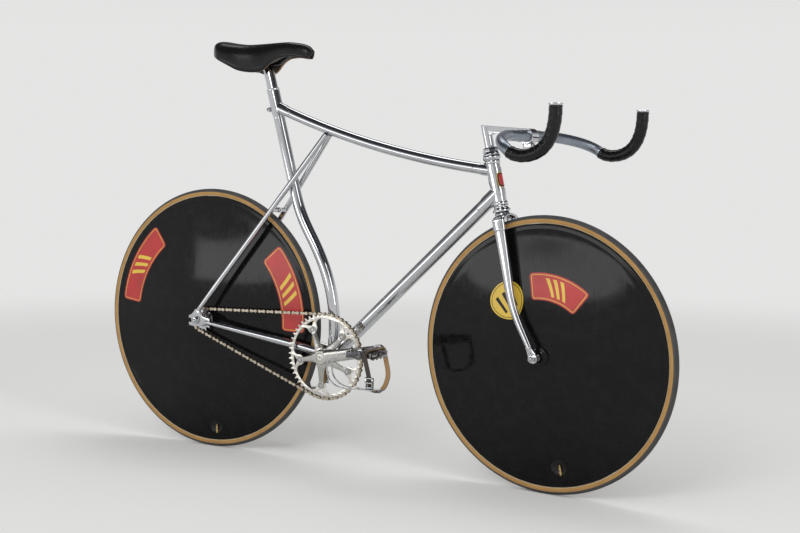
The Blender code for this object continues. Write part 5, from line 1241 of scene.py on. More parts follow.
# Angle and radius of each panel's middle, its half width and height, and its corner
rearPanels = [(middle, 0.264, 0.105, 0.0320, 0.010, *rearBars) for middle in (150, 19)]
frontPanels = [(75, 0.156, 0.066, 0.0300, 0.008, *frontBars)]
frontPanels.append((125, 0.145, 0.043, 0.0430, 0.042, *uprightBars))
wheels = []
for word, centre, pocket, finish, panels in (
    ("rear", rearAxle, (-86, 0.284), "polishedAlloy", rearPanels),
    ("front", frontAxle, (-80, 0.250), "discShell", frontPanels),
):
    radius = bike[word + "Radius"]
    rim = radius - bike["tyreWidth"] / 2 - wheelSizes["tyreSeat"] - gap
    buildTyre(word, centre, radius)
    buildDisc(word, centre, rim, *pocket)
    buildHub(word, centre, bike[word + "Hub"], finish)
    wheels.append((word, centre, rim, panels))
for side, way in (("Right", -1), ("Left", 1)):
    for word, centre, rim, panels in wheels:
        films = [film for panel in panels for film in panelFilms(centre, rim, way, *panel)]
        addPiece(word + "Panels" + side, word + "_wheel", films, node="", facing=yAxis * way)
print("wheels made")

# Chain, cog and chainring

drive = {
    "insideHalf": 0.00175,
    "plate": 0.0013,
    "plateHigh": 0.0082,
    "waist": 0.0038,
    "roller": 0.0040,
    "pin": 0.0018,
    "pinEnd": 0.0003,
    "toothWide": 0.0028,
    "toothTip": 0.0032,
    "toothRoom": 0.0026,
}
chainMiddle = Vector((0, -bike["chainline"], 0))
backWay = (rearAxle - bracket).normalized()
upWay = Vector((-backWay.z, 0, backWay.x))
upWay = upWay if upWay.z > 0 else -upWay
contact = acos((ringRadius - cogRadius) / centres)
runLength = centres * sin(contact) / bike["pitch"]
cogWrap = 2 * contact * bike["cogTeeth"] / (2 * pi)


def radialWay(angle):
    return backWay * cos(angle) + upWay * sin(angle)


def chainPlace(link):
    # A point on the pitch line, counted in links from the ring's upper contact, and the way outwards there.
    s = link % bike["links"]
    ring, cog = (bracket, ringRadius), (rearAxle, cogRadius)
    for sign, (start, far), (end, near) in ((1, ring, cog), (-1, cog, ring)):
        if s <= runLength:
            outward = radialWay(sign * contact)
            return (start + outward * far).lerp(end + outward * near, s / runLength), outward
        s -= runLength
        wrap, teeth = (cogWrap, bike["cogTeeth"]) if sign > 0 else (bike["links"], bike["ringTeeth"])
        if s <= wrap:
            outward = radialWay(sign * contact - s * 2 * pi / teeth)
            return end + outward * near, outward
        s -= wrap


def plateShape(low):
    # A side plate with its waist, flat in x and z.
    outline = []
    end = drive["plateHigh"] / 2
    for sign in (1, -1):
        for a in [radians((-72 if sign > 0 else 108) + 24 * i) for i in range(7)]:
            outline.append((sign * bike["pitch"] / 2 + end * cos(a), end * sin(a)))
        outline.append((0, sign * drive["waist"] / 2))
    return prismShape(outline, low, low + drive["plate"], Vector(), xAxis, -zAxis)


def chainNodes(n, start):
    # Even links are a pair of outer plates with pins, and odd ones a pair of inner plates with rollers. The
    # inner plates and rollers take a darker material, which is painted shade between the outer plates.
    along, outward = (
        n.get("GeometryNodeInputNamedAttribute", {"Name": name}, data_type="FLOAT_VECTOR")
        for name in ("along", "outward")
    )
    axes = {"Primary Axis": along, "Secondary Axis": outward}
    turn = n.get("FunctionNodeAxesToRotation", axes, primary_axis="X", secondary_axis="Z")
    odd = n.math("MODULO", n.get("GeometryNodeInputIndex"), 2.0)
    halfPitch = n.math("MULTIPLY", start["Pitch"], 0.5)
    backPitch = n.math("MULTIPLY", halfPitch, -1.0)
    both = n.add("GeometryNodeJoinGeometry")
    for word, pin, sides, choice in (
        ("Outer", "Pin", 8, n.math("SUBTRACT", 1.0, odd)), ("Inner", "Roller", 12, odd),
    ):
        sizes = {"Vertices": sides, "Radius": start[pin + " radius"], "Depth": start[pin + " length"]}
        barrel = n.add("GeometryNodeMeshCylinder", sizes).outputs["Mesh"]
        plates = n.add("GeometryNodeObjectInfo", {"Object": start[word + " plates"]}).outputs["Geometry"]
        join = n.add("GeometryNodeJoinGeometry", {0: plates})
        for offset in (halfPitch, backPitch):
            shift = n.get("ShaderNodeCombineXYZ", {"X": offset})
            put = {"Geometry": barrel, "Translation": shift, "Rotation": (radians(90), 0, 0)}
            feed(join.inputs[0], n.get("GeometryNodeTransform", put))
        mark = {"Geometry": join.outputs[0], "Name": "inner", "Value": float(word == "Inner")}
        marked = n.get("GeometryNodeStoreNamedAttribute", mark, data_type="FLOAT", domain="FACE")
        spots = {"Points": start["Geometry"], "Instance": marked, "Rotation": turn, "Selection": choice}
        feed(both.inputs[0], n.get("GeometryNodeInstanceOnPoints", spots))
    real = n.get("GeometryNodeRealizeInstances", {"Geometry": both.outputs[0]})
    base = n.get("GeometryNodeSetMaterial", {"Geometry": real, "Material": start["Material"]})
    # The inner links get the darker material: painted shade between the outer plates.
    inner = n.get("GeometryNodeInputNamedAttribute", {"Name": "inner"}, data_type="FLOAT")
    picked = n.math("GREATER_THAN", inner, 0.5)
    dark = {"Geometry": base, "Selection": picked, "Material": start["Painted shade material"]}
    return n.get("GeometryNodeSetMaterial", dark)


def buildChain():
    inside, plate = drive["insideHalf"], drive["plate"]
    helpers = []
    for low in (inside + plate + 0.0001, inside):
        shape = plateShape(low)
        helpers.append(linked("plates", meshFrom("plates", dressed([shape, flipped(shape)], None))))
    ends = [chainPlace(i) for i in range(bike["links"] + 1)]
    links = list(zip(ends, ends[1:]))
    mesh = bpy.data.meshes.new("chainPoints")
    mesh.from_pydata([(a + b) / 2 + chainMiddle for (a, _), (b, _) in links], [], [])
    for name, ways in (
        ("along", [b - a for (a, _), (b, _) in links]), ("outward", [a + b for (_, a), (_, b) in links]),
    ):
        layer = mesh.attributes.new(name, "FLOAT_VECTOR", "POINT")
        layer.data.foreach_set("vector", [c for way in ways for c in way.normalized()])
    obj = linked("chainLinks", mesh)
    grown(obj, "chainLinks", {
        "Outer plates": helpers[0], "Inner plates": helpers[1], "Pitch": bike["pitch"],
        "Roller radius": drive["roller"], "Roller length": inside * 2, "Pin radius": drive["pin"],
        "Pin length": 2 * (inside + 2 * plate + drive["pinEnd"]),
        "Material": finishes["chainSteel"], "Painted shade material": finishes["chainPaintedShade"],
    }, chainNodes)
    for one in helpers:
        dropped(one)
    shaded(obj, 35)
    handOver(obj, "frame", "chain", "chain_steel")


def toothOutline(teeth, radius, start):
    # Rounded seats for the rollers and slightly blunt tips.
    root = radius - drive["plateHigh"] / 2 - gap
    tip = radius + drive["toothTip"]
    half = pi * root / teeth - drive["toothRoom"] - gap
    flank = [(root, half + 0.0010), (root + 0.0006, half), ((root + tip) / 2, 0.0022)]
    flank += [(tip - 0.0008, 0.0013), (tip, 0.0006)]
    tooth = flank + [(r, -w) for r, w in reversed(flank)]
    middles = [start + (i + 0.5) * 2 * pi / teeth for i in range(teeth)]
    return [(r * cos(a - w / r), r * sin(a - w / r)) for a in middles for r, w in tooth]


def buildCog():
    start = contact + runLength * 2 * pi / bike["cogTeeth"]
    bore = [(0.0118 * cos(a), 0.0118 * sin(a)) for a in angles(40)]
    wide = drive["toothWide"] / 2
    outline = toothOutline(bike["cogTeeth"], cogRadius, start)
    shape = prismShape(outline, -wide, wide, rearAxle + chainMiddle, backWay, upWay, [bore])
    shoulder = mm((11.2, 34), (17.2, 34), (17.8, 34.6), (17.8, 40.6), (11.2, 40.6))
    parts = [shape, turnedShape(shoulder, rearAxle, -yAxis, 48, True)]
    addPiece("trackCog", "rear_wheel", parts, "steel", bevel=0.0003)
    first, second = squareTo(-yAxis)
    rings = []
    edge = ((11.8, 0.3, 0), (16.2, 0.3, 1), (16.5, 0.8, 1), (16.5, 2.8, 1), (16, 3.2, 1), (11.8, 3.2, 0))
    for r, h, notched in mm(*edge, at=(0, bike["chainline"] + wide, 0)):
        radii = [r - (0.0016 if notched and j % 16 < 3 else 0) for j in range(96)]
        rings.append(ringOf(rearAxle - yAxis * h, first, second, radii))
    addPiece("cogLockring", "rear_wheel", [loft(rings, True)], "steel")


crankAngle = radians(bike["crankRest"])
armWay = wayAt(crankAngle)
crank = {
    "boltCircle": 0.072,
    "bossIn": 0.0505,
    "tab": 0.0042,
    "eye": 0.0130,
    "eyeStand": 0.0075,
    "qFactor": 0.138,
    "voxel": 0.0008,
    "smoothing": 6,
}
spiderAngles = [crankAngle + radians(36 + 72 * k) for k in range(5)]
crankEye = bracket + armWay * bike["crankLength"]
tabIn = bike["chainline"] + drive["toothWide"] / 2 + gap
tabOut = tabIn + crank["tab"]
eyeOut = crank["qFactor"] / 2 + crank["eyeStand"]
eyeIn = eyeOut - crank["eye"]


def polarPath(points, steps):
    # A closed smooth line through points given as (degrees, radius).
    flat = [Vector((r * cos(radians(a)), r * sin(radians(a)), 0)) for a, r in points]
    return [(p.x, p.y) for p in throughPath(flat, steps, True)[:-1]]


def buildChainring():
    # Five bosses stand in from a slim ring, each with a three-cornered window behind its bolt.
    lead = degrees(atan2(upWay.dot(wayAt(crankAngle)), backWay.dot(armWay)))
    flank = ((7, 0.0672), (10, 0.0740), (9.5, 0.0800), (11.5, 0.0868), (15, 0.0908), (21, 0.0922))
    corner = [(3.4, 0.0850), (7.0, 0.0888), (8.0, 0.0908), (4.2, 0.0916)]
    window = [(0, 0.0818), *corner, (0, 0.0918), *[(-a, r) for a, r in reversed(corner)]]
    boss = [(-a, r) for a, r in reversed(flank)] + [(0, 0.0642), *flank]
    boss += [(29, 0.0924), (36, 0.0924), (43, 0.0924)]
    middles = [lead + 36 + 72 * k for k in range(5)]
    inner = polarPath([(middle + a, r) for middle in middles for a, r in boss], 3)
    windows = [polarPath([(middle + a, r) for a, r in window], 3) for middle in middles]
    wide = drive["toothWide"] / 2
    outer = toothOutline(bike["ringTeeth"], ringRadius, contact)
    plate = prismShape(outer, -wide, wide, bracket + chainMiddle, backWay, upWay, [inner, *windows])
    addPiece("chainring", "crankset", [plate], "ringAlloy", bevel=0.00045)


def boltNodes(n, start):
    sizes = {"Vertices": start["Count"], "Radius": start["Circle"]}
    circle = n.get("GeometryNodeMeshCircle", sizes)
    phase = n.get("ShaderNodeCombineXYZ", {"Z": start["Phase"]})
    spun = n.get("GeometryNodeTransform", {"Geometry": circle, "Rotation": phase})
    upright = n.get("GeometryNodeTransform", {"Geometry": spun, "Rotation": (radians(90), 0, 0)})
    bolt = n.add("GeometryNodeObjectInfo", {"Object": start["Bolt"]}).outputs["Geometry"]
    put = n.get("GeometryNodeInstanceOnPoints", {"Points": upright, "Instance": bolt})
    home = n.get("GeometryNodeTransform", {"Geometry": put, "Translation": tuple(bracket)})
    real = n.get("GeometryNodeRealizeInstances", {"Geometry": home})
    return n.get("GeometryNodeSetMaterial", {"Geometry": real, "Material": start["Material"]})


def buildRingBolts():
    low = bike["chainline"] - drive["toothWide"] / 2 - 0.0012
    head = mm((3.4, -3), (3.6, 1.2), (4.2, 1.8), (5.6, 1.8), (6.3, 1.2), (6.4, 0.6), at=(0, tabOut))
    head += mm((6.4, -0.4), (5, -0.4), at=(0, tabOut)) + mm((5, 0.8), (6.2, 0.6), (6, 0), (2, 0), at=(0, low))
    bolt = linked("ringBolt", meshFrom("ringBolt", [(turnedShape(head, Vector(), -yAxis, 24), None)]))
    shaded(bolt, 35)
    obj = linked("ringBolts", bpy.data.meshes.new("ringBolts"))
    grown(obj, "ringBolts", {
        "Count": len(spiderAngles), "Circle": crank["boltCircle"], "Phase": spiderAngles[0],
        "Bolt": bolt, "Material": finishes["steel"],
    }, boltNodes)
    dropped(bolt)
    handOver(obj, "crankset", None, "steel")


def barShape(sections, angle):
    # A bar lofted from sections of reach along the angle, half width, and inner and outer side.
    rings = []
    for reach, half, low, high in sections:
        outline = softened([(half, low), (half, high), (-half, high), (-half, low)], 2, 0.21)
        middle = bracket + wayAt(angle) * reach
        rings.append([middle + wayAt(angle + pi / 2) * w - yAxis * y for w, y in outline])
    return loft(rings)


def armShapes(spider):
    arm = mm((0, 15.5, 51.5, 65.5), (18, 15, 51.7, 66.2), (40, 14.6, 52.5, 66.7), (80, 14, 57.5, 70))
    arm += [(0.120, 0.0134, eyeIn - 0.001, eyeOut - 0.0015), (0.158, 0.0130, eyeIn, eyeOut - 0.0006)]
    arm += [(bike["crankLength"], 0.0120, eyeIn, eyeOut - 0.0005)]
    boss = mm((16.5, 50.5), (17.2, 51.5), (17.2, 64.5), (16.4, 66), (15, 66.5))
    eye = mm((13.8, 0), (14.7, 0.8), at=(0, eyeIn)) + mm((14.7, -1.4), (13.9, -0.4), (13, 0), at=(0, eyeOut))
    shapes = [barShape(arm, crankAngle), turnedShape(boss, bracket, -yAxis, 48)]
    shapes.append(turnedShape(eye, crankEye, -yAxis, 40))
    leg = mm(
        (6, 14, 51, 61.2), (16, 13.4, 50.8, 60.6), (22, 12, 50.4, 60), (28, 9.6, 49.6, 58.4),
        (36, 8, 48.4, 56.6), (46, 6.9, 46.6, 54), (56, 6.2, 44.6, 50.8),
    )
    leg += [(0.062, 0.0064, tabIn + 0.0002, tabOut + 0.0008)]
    leg += [(reach, 0.0072, tabIn, tabOut) for reach in (0.068, 0.074)]
    tab = [(0.0080, tabIn), (0.0082, tabIn + 0.0006), (0.0082, tabOut - 0.0006), (0.0078, tabOut)]
    for a in spiderAngles if spider else ():
        shapes += [barShape(leg, a), turnedShape(tab, bracket + wayAt(a) * crank["boltCircle"], -yAxis, 32)]
    return shapes


def buildCranks():
    opposite = Matrix.Translation(bracket) @ Matrix.Rotation(pi, 4, "Y") @ Matrix.Translation(-bracket)
    cap = mm((2.6, 64.6), (2.6, 66.4), (3.4, 66.8), (5.2, 66.8), (5.6, 66.3), (6, 66.8), (8.6, 66.6))
    cap += mm((9.8, 66), (10.1, 65.2), (10.1, 64.6))
    pin = mm((3.5, -1), (6.2, -1), (6.6, 0.2), (5.6, 0.6), (3, 0.6), at=(0, eyeOut))
    recess = turnedShape(mm((10.4, 65.2), (10.4, 72)), bracket, -yAxis, 40)
    for name, spider in (("crankRight", True), ("crankLeft", False)):
        body = fused(armShapes(spider), crank["voxel"], crank["smoothing"])
        parts = [
            (cutBy(body, recess), "polishedAlloy"),
            (turnedShape(cap, bracket, -yAxis, 48, True), "ringAlloy"),
            # The dark hex on the cap is painted shade for its socket.
            (turnedShape(mm((3, 64.6), (3, 65)), bracket, -yAxis, 6), "darkSteel"),
            (turnedShape(pin, crankEye, -yAxis, 32, True), "steel"),
        ]
        if not spider:
            parts = [(moved(flipped(shape), opposite), finish) for shape, finish in parts]
        addPiece(name, "crankset", parts, crease=42)
    end = crank["bossIn"] + 0.0102
    spindle = turnedShape(bothEnds([(8, 0), (8.5, 10)], 0, -end, end), bracket, yAxis, 32)
    addPiece("bracketSpindle", "crankset", [spindle], "steel", "bb_spindle")


buildChain()
buildCog()
buildChainring()
buildRingBolts()
buildCranks()
print("transmission made")

# Pedals: made upright about the spindle, then hung upside down.

pedal = {
    "stand": 0.0095,
    "barrel": 0.0100,
    "length": 0.066,
    "width": 0.078,
    "height": 0.022,
    "sheet": 0.0022,
    "reach": 0.068,
    "clipHigh": 0.084,
    "clipSteel": 0.0018,
    "strapWide": 0.012,
    "strapThick": 0.0022,
    "buckleShare": 10.3,
}
cageIn = eyeOut + pedal["stand"]
cageOut = cageIn + pedal["width"]
cageMiddle = (cageIn + cageOut) / 2
cageFront = pedal["length"] / 2 + gap


def cageShapes():
    barrel = mm((5.5, -4), (9.6, -4), (10, -3.4), (10, 9), (9.2, 12), (8.5, 14), at=(0, cageIn))
    barrel += mm((8.5, -14), (9.2, -12), (10, -10), (10, 0.8), at=(0, cageOut))
    barrel += mm((9.4, 2), (4, 2.6), (3.6, 1.2), at=(0, cageOut))
    shapes = [turnedShape(barrel, Vector(), -yAxis, 40)]
    half, count = pedal["height"] / 2, 9
    span = pedal["width"] - 0.012
    width = span / (count - 1) / 5
    teeth = []
    for i in range(count):
        y = cageIn + 0.006 + span * i / (count - 1)
        high = half if i % 2 else half - 0.0030
        teeth += [(-y + width, high), (-y - width, high)]
    outline = [*mm((0, 6), at=(-cageIn, -half)), *mm((0, -6), at=(-cageIn, half)), *teeth]
    outline += [*mm((0, -6), at=(-cageOut, half)), *mm((0, 6), (6, 3.5), at=(-cageOut, -half))]
    outline += mm((-6, 3.5), at=(-cageIn, -half))
    hole = softened(mm((-12, -4.5), (12, -4.5), (12, 2.8), (-12, 2.8)), 2, 0.2)
    windows = [[(-(middle + a), b) for a, b in hole] for middle in (cageIn + 0.0210, cageOut - 0.0210)]
    inside = pedal["length"] / 2 - pedal["sheet"]
    for low in (-inside - pedal["sheet"], inside):
        shapes.append(prismShape(outline, low, low + pedal["sheet"], Vector(), yAxis, zAxis, windows))
    reach = pedal["length"] / 2 - 0.001
    end = [(-0.0050, -reach), (-0.0066, -0.012), (-0.0066, 0.012), (-0.0050, reach)]
    end += [(-b, a) for b, a in reversed(end)]
    for low in (cageIn + 0.001, cageOut - 0.0055):
        shapes.append(prismShape(end, -low - 0.0045, -low, Vector(), zAxis, xAxis))
    return shapes


def clipLine(steps):
    start = Vector((cageFront + 0.0008, 0, 0.004))
    foot = start + xAxis * 0.012 + zAxis * 0.001
    nose = Vector((cageFront + pedal["reach"], 0, 0.040))
    top = Vector((cageFront + 0.012, 0, pedal["clipHigh"]))
    line = [start, foot, *cubicPath(foot, foot + xAxis * 0.030, nose - zAxis * 0.024, nose, steps)]
    line += cubicPath(nose, nose + zAxis * 0.026, top + xAxis * 0.040, top, steps)
    return line + [Vector((x, 0, pedal["clipHigh"] - 0.002)) for x in (-0.020, -0.040)]


def clipShapes():
    # Two sprung legs, their foot plate with two rivets, and the strap's guide with its loop.
    line = clipLine(16)
    last = len(line) - 1
    middle = Vector((0, -cageMiddle, 0))
    shapes = []
    for side in (-1, 1):
        eases = [min(i / 3, (last - i) / 5, 1) for i in range(last + 1)]
        leg = [p + yAxis * (side * (0.0085 + 0.0025 * ease)) + middle for p, ease in zip(line, eases)]
        shapes.append(bandShape(leg, 0.0055, pedal["clipSteel"], yAxis))
    foot = middle + xAxis * cageFront
    shapes.append(boxShape(foot, (0, -14, -9), (2, 14, 5.5)))
    shapes.append(bandShape([p + middle for p in line[-3:]], 0.0215, pedal["clipSteel"], yAxis))
    end = line[-1].lerp(line[-2], 0.5) + middle
    loop = mm((-8.6, 0, -0.2), (-8.6, 0, 4), (-7, 0, 5.6), (7, 0, 5.6), (8.6, 0, 4), (8.6, 0, -0.2), at=end)
    shapes.append(bandShape([Vector(p) for p in loop], 0.0060, 0.0014, yAxis))
    rivet = mm((2.6, 0), (3, 0.6), (2.6, 1.6), (1.2, 2.2))
    for y in (-0.0080, 0.0080):
        shapes.append(turnedShape(rivet, foot + Vector((0.0020, y, -0.0040)), xAxis, 20))
    return shapes


def strapLine():
    # Under the barrel, up outside the cage, and over through the clip's guide.
    tail = clipLine(4)
    guide = tail[-1].lerp(tail[-2], 0.5)
    under = -pedal["barrel"] - gap - pedal["strapThick"] / 2
    over = guide.z + pedal["clipSteel"] / 2 + gap + pedal["strapThick"] / 2
    near, far = -cageIn + 0.0045, -cageOut - 0.0055
    low, lean = -0.020, guide.x
    rising = [(low, 10, under), (low, 2, under + 0.003), (low - 0.001, 0, under + 0.011)]
    rising += [(lean - 0.002, 1, 0.045), (lean - 0.002, 6, 0.066), (lean, 16, 0.080)]
    up = [Vector((x, near - inset / 1000, z)) for x, inset, z in rising]
    down = [Vector((x, far + inset / 1000, z)) for x, inset, z in reversed(rising)]
    top = [Vector((lean, -cageMiddle + y, over)) for y in (0.012, -0.012)]
    return [Vector((low, -cageMiddle, under)), *up, *top, *down]


def strapParts():
    # The hide is dark on the outside of the loop and tan on the inside.
    line = throughPath(strapLine(), 8, True)
    points, faces = bandShape(line, pedal["strapWide"], pedal["strapThick"], xAxis, True)
    centre = sum(line, Vector()) / len(line)
    picks = []
    for i, face in enumerate(faces):
        middle = sum((points[k] for k in face), Vector()) / len(face)
        at = line[i // 12].lerp(line[i // 12 + 1], 0.5)
        picks.append("strapTan" if (centre - at).dot(middle - at) > 0 else "strapDark")
    at = line[int(8 * pedal["buckleShare"])]
    buckle = [boxShape(at, (low, -3.6, -14.5), (low + 2.5, 2.4, 14.5)) for low in (-9.5, 7)]
    for z in (-0.0135, -0.0030, 0.0075, 0.0135):
        bar = at + Vector((0, -0.0038, z))
        buckle.append(softRod(bar - xAxis * 0.0100, bar + xAxis * 0.0100, 0.0022, 0.0005, 20))
    return (points, faces), picks, buckle


def buildPedals():
    spin = Matrix.Rotation(pi, 4, "Y")
    strap, picks, buckle = strapParts()
    pin = mm((4.5, 1), at=(0, eyeIn))
    pin += mm((4.5, 0.3), (8, 0.3), (8.2, 0.8), (8.2, 3.2), (7.8, 3.7), (5.2, 4.8), (4.5, 6), at=(0, eyeOut))
    pin += mm((4.5, -8.5), at=(0, cageOut))
    pin = turnedShape(pin, Vector(), -yAxis, 32)
    cage = [(shape, "steel" if 0 < i < 3 else "darkSteel") for i, shape in enumerate(cageShapes())]
    for word, side in (("Right", -1), ("Left", 1)):
        body = "pedal_" + word.lower()
        eye = Matrix.Translation(bracket - armWay * (bike["crankLength"] * side))
        for name, parts, rides, place, settings in (
            ("pedalAxle", [(pin, "steel")], "crankset", eye, {}),
            ("pedalCage", cage, body, eye @ spin,
             {"node": "pedal_body_" + word.lower(), "bevel": 0.0003, "slot": "silver_alloy"}),
            ("toeClip", dressed(clipShapes(), "chrome"), body, eye @ spin, {"bevel": 0.0002}),
            ("toeStrap", [(strap, picks)], body, eye @ spin, {}),
            ("strapBuckle", dressed(buckle, "chrome"), body, eye @ spin, {"node": "", "bevel": 0.0003}),
        ):
            put = [(moved(flipped(shape) if side > 0 else shape, place), finish) for shape, finish in parts]
            addPiece(name + word, rides, put, **settings)


buildPedals()
print("pedals made")

# Stem and handlebar

cockpit = {
    "quill": 0.0111,
    "stemTop": 0.0515,
    "slope": 5.0,
    "reach": 0.1124,
    "depth": 0.0155,
    "width": 0.0170,
    "clamp": 0.0172,
    "clampWide": 0.030,
    "voxel": 0.0006,
    "smoothing": 4,
    "bar": 0.0120,
    "sleeve": 0.0132,
    "barSides": 40,
    "fallAngle": 35.7,
    "halfStraight": 0.0863,
    "knee": (0.0715, -0.2112, -0.0352),
    "kneeToBottom": (0.0300, 0.0004, -0.0087),
    "kneeToTip": (0.1040, 0.0013, 0.0903),
    "plug": 0.0140,
    "tapeThin": 0.0011,
    "tapeThick": 0.0022,
    "tapePitch": 0.0150,
    "tapeSides": 56,
    "tapeRow": 0.0009,
    "tapeRipple": 0.00022,
    "tapeEnd": 0.0118,
}
stemWay = wayAt(-radians(cockpit["slope"]))
stemLift = wayAt(pi / 2 - radians(cockpit["slope"]))
stemTop = onAxis(stackTop + cockpit["stemTop"])
clampAt = stemTop + stemWay * cockpit["reach"] - stemLift * (cockpit["clamp"] - 0.001)


def onStem(outline, low, high):
    return prismShape(outline, low, high, stemTop, stemWay, stemLift)


def buildStem():
    depth, half, reach = cockpit["depth"], cockpit["width"] / 2, cockpit["reach"]
    quill, ends, clampRadius = cockpit["quill"], (headHigh - 0.02, stackTop), cockpit["clamp"]
    low, high = (circleOf(onAxis(h), yAxis, ahead, quill, quill, 40) for h in ends)
    high = [p + steering * ((stemTop - p).dot(stemLift) / steering.dot(stemLift)) for p in high]
    arm = onStem([(-0.002, -depth), (reach, -depth + 0.002), (reach, 0), (-0.002, 0)], -half, half)
    web = mm((4, -24), (10.5, -14), (16, -6), (25, -1), (36, 1), (4, 1), at=(0, -depth))
    wide = cockpit["clampWide"] / 2
    clamp = turnedShape([(clampRadius, -wide), (clampRadius, wide)], clampAt, yAxis, 48)
    earLow = -clampRadius - 0.0075
    ears = [(-0.0085, earLow), (0.0085, earLow), (0.0085, 0), (-0.0085, 0)]
    ears = prismShape(ears, -0.0075, 0.0075, clampAt, xAxis, zAxis)
    body = [loft([low, high]), arm, onStem(web, -0.0076, 0.0076), clamp, ears]
    body = fused(body, cockpit["voxel"], cockpit["smoothing"])
    bore = cockpit["sleeve"] + gap
    cutters = [turnedShape([(bore, -0.03), (bore, 0.03)], clampAt, yAxis, 48)]
    cutters.append(boxShape(clampAt, (-0.7, -30, -40), (0.7, 30, 0)))
    # A long shallow groove under the arm's top edge, on both sides
    groove = [(0.008, -0.0054), (reach - 0.020, -0.0052), (reach - 0.020, -0.0034), (0.008, -0.0034)]
    for side in (-1, 1):
        lowY, highY = sorted((side * (half - 0.0010), side * (half + 0.01)))
        cutters.append(onStem(softened(groove, 2, 0.2), lowY, highY))
    cutters.append(rodShape(stemTop - steering * 0.006, stemTop + steering * 0.01, 0.0058, 32))
    addPiece("stem", "stem", [cutBy(body, *cutters)], "chrome", crease=40)
    boltAt = clampAt - zAxis * (clampRadius + 0.0030)
    bolt = [rodShape(boltAt - xAxis * 0.0105, boltAt + xAxis * 0.0105, 0.0030, 20)]
    bolt.append(softRod(boltAt - xAxis * 0.0128, boltAt - xAxis * 0.0084, 0.0052, 0.0006))
    bolt.append(softRod(boltAt + xAxis * 0.0084, boltAt + xAxis * 0.0128, 0.0052, 0.0008))
    # The dark hex at the bolt's end is painted shade for its socket.
    key = turnedShape(mm((2.6, 0), (2.6, 0.4)), boltAt + xAxis * 0.0125, xAxis, 6)
    addPiece("stemBolt", "stem", dressed(bolt, "steel") + [(key, "darkSteel")], node="stem_clamp_bolt")
    expander = mm((3, -4), (3, -1), (5, -0.8), (5.5, -1.4), (5.5, -5.7), (3, -5.7))
    expander = turnedShape(expander, stemTop, steering, 36, True)
    addPiece("expanderBolt", "stem", [expander], "steel", "stem_expander_bolt")


def barHalfLine():
    # The right half, from the clamp outwards, down to the lowest point and up to the tip.
    corner = clampAt - yAxis * cockpit["halfStraight"]
    forward = wayAt(-radians(cockpit["fallAngle"]))
    knee = clampAt + Vector(cockpit["knee"])
    line = [clampAt, corner, *cubicPath(corner, corner - yAxis * 0.0162, knee - forward * 0.0464, knee, 20)]
    tapeFrom = len(line) - 1
    bottom = knee + Vector(cockpit["kneeToBottom"])
    line += cubicPath(knee, knee + forward * 0.0100, bottom - xAxis * 0.0100, bottom, 10)
    tip = knee + Vector(cockpit["kneeToTip"])
    line += cubicPath(bottom, bottom + xAxis * 0.045, tip - zAxis * 0.070, tip, 30)
    return line, tapeFrom


barLine, tapeFrom = barHalfLine()
barFrames = pathFrames(barLine, xAxis)


def buildBar():
    sides = cockpit["barSides"]
    _, _, across, up = barFrames[1]
    sleeve = mm((0, 13.2), (44, 13.2), (46, 13), (49, 12.1), (50, 12))
    rings = [circleOf(clampAt - yAxis * y, across, up, radius, radius, sides) for y, radius in sleeve]
    for point, _, across, up in barFrames[1:]:
        rings.append(circleOf(point, across, up, cockpit["bar"], cockpit["bar"], sides))
    other = [[Vector((p.x, -p.y, p.z)) for p in one] for one in rings[1:]]
    addPiece("handlebar", "handlebar", [loft([*reversed(rings), *other])], "silverAlloy")
    # Each end is closed by a bright collar round a black cap.
    point, along, across, up = barFrames[-1]
    collar = [(0.84, -4), (0.97, 0.2), (1.04, 0.4), (1.07, 1.4), (1.06, 2.6), (1, 3.3)]
    collar += [(0.86, 3.3), (0.80, 2.2), (0.78, -4)]
    cap = [(0.77, -6), (0.77, 2), (0.70, 3), (0.45, 3.8), (0.15, 4.1)]
    plug = []
    for rows, loop, finish in ((collar, True, "chrome"), (cap, False, "blackPlastic")):
        rings = []
        for grow, out in rows:
            r = cockpit["plug"] * grow
            rings.append(circleOf(point + along * (out / 1000), across, up, r, r, sides))
        plug.append((loft(rings, loop), finish))
    plug += [(flipped(shape), finish) for shape, finish in plug]
    addPiece("barPlugs", "handlebar", plug, node="", slot="black_tape")


def tapeThickness(s, turnShare, total):
    # Each turn's edge stands proud of the turn before and thins out under the next one.
    thin, edge = cockpit["tapeThin"], min(turnShare / 0.06, 1)
    if min(s, total - s) < 0.0015:
        return thin * 0.8
    return thin + (cockpit["tapeThick"] - thin) * (0.30 + 0.70 * (1 - turnShare) ** 1.5) * edge


def buildTape():
    frames = barFrames[tapeFrom:]
    total, at = measured(frames)
    sides, rows = cockpit["tapeSides"], int(total / cockpit["tapeRow"])
    pitch = total / int(total / cockpit["tapePitch"])
    rings = []
    for s in [total * i / rows for i in range(rows + 1)]:
        point, _, across, up = at(s)
        radii = []
        for m, a in enumerate(angles(sides)):
            ripple = cockpit["tapeRipple"] * noise.noise(Vector((s * 260, cos(a) * 1.6, sin(a) * 1.6)))
            thick = tapeThickness(s, (s / pitch - m / sides) % 1, total)
            radii.append(cockpit["bar"] + thick + ripple)
        rings.append(ringOf(point, across.normalized(), up.normalized(), radii))
    ends = [cockpit["tapeEnd"]] * sides
    first, last = (ringOf(p, across, up, ends) for p, _, across, up in (frames[0], frames[-1]))
    addPair("barTape", "handlebar", [loft([first, *rings, last])], "barTape", ("Right", "Left"), crease=60)


buildStem()
buildBar()
buildTape()
print("stem and handlebar made")

# Seat post and saddle

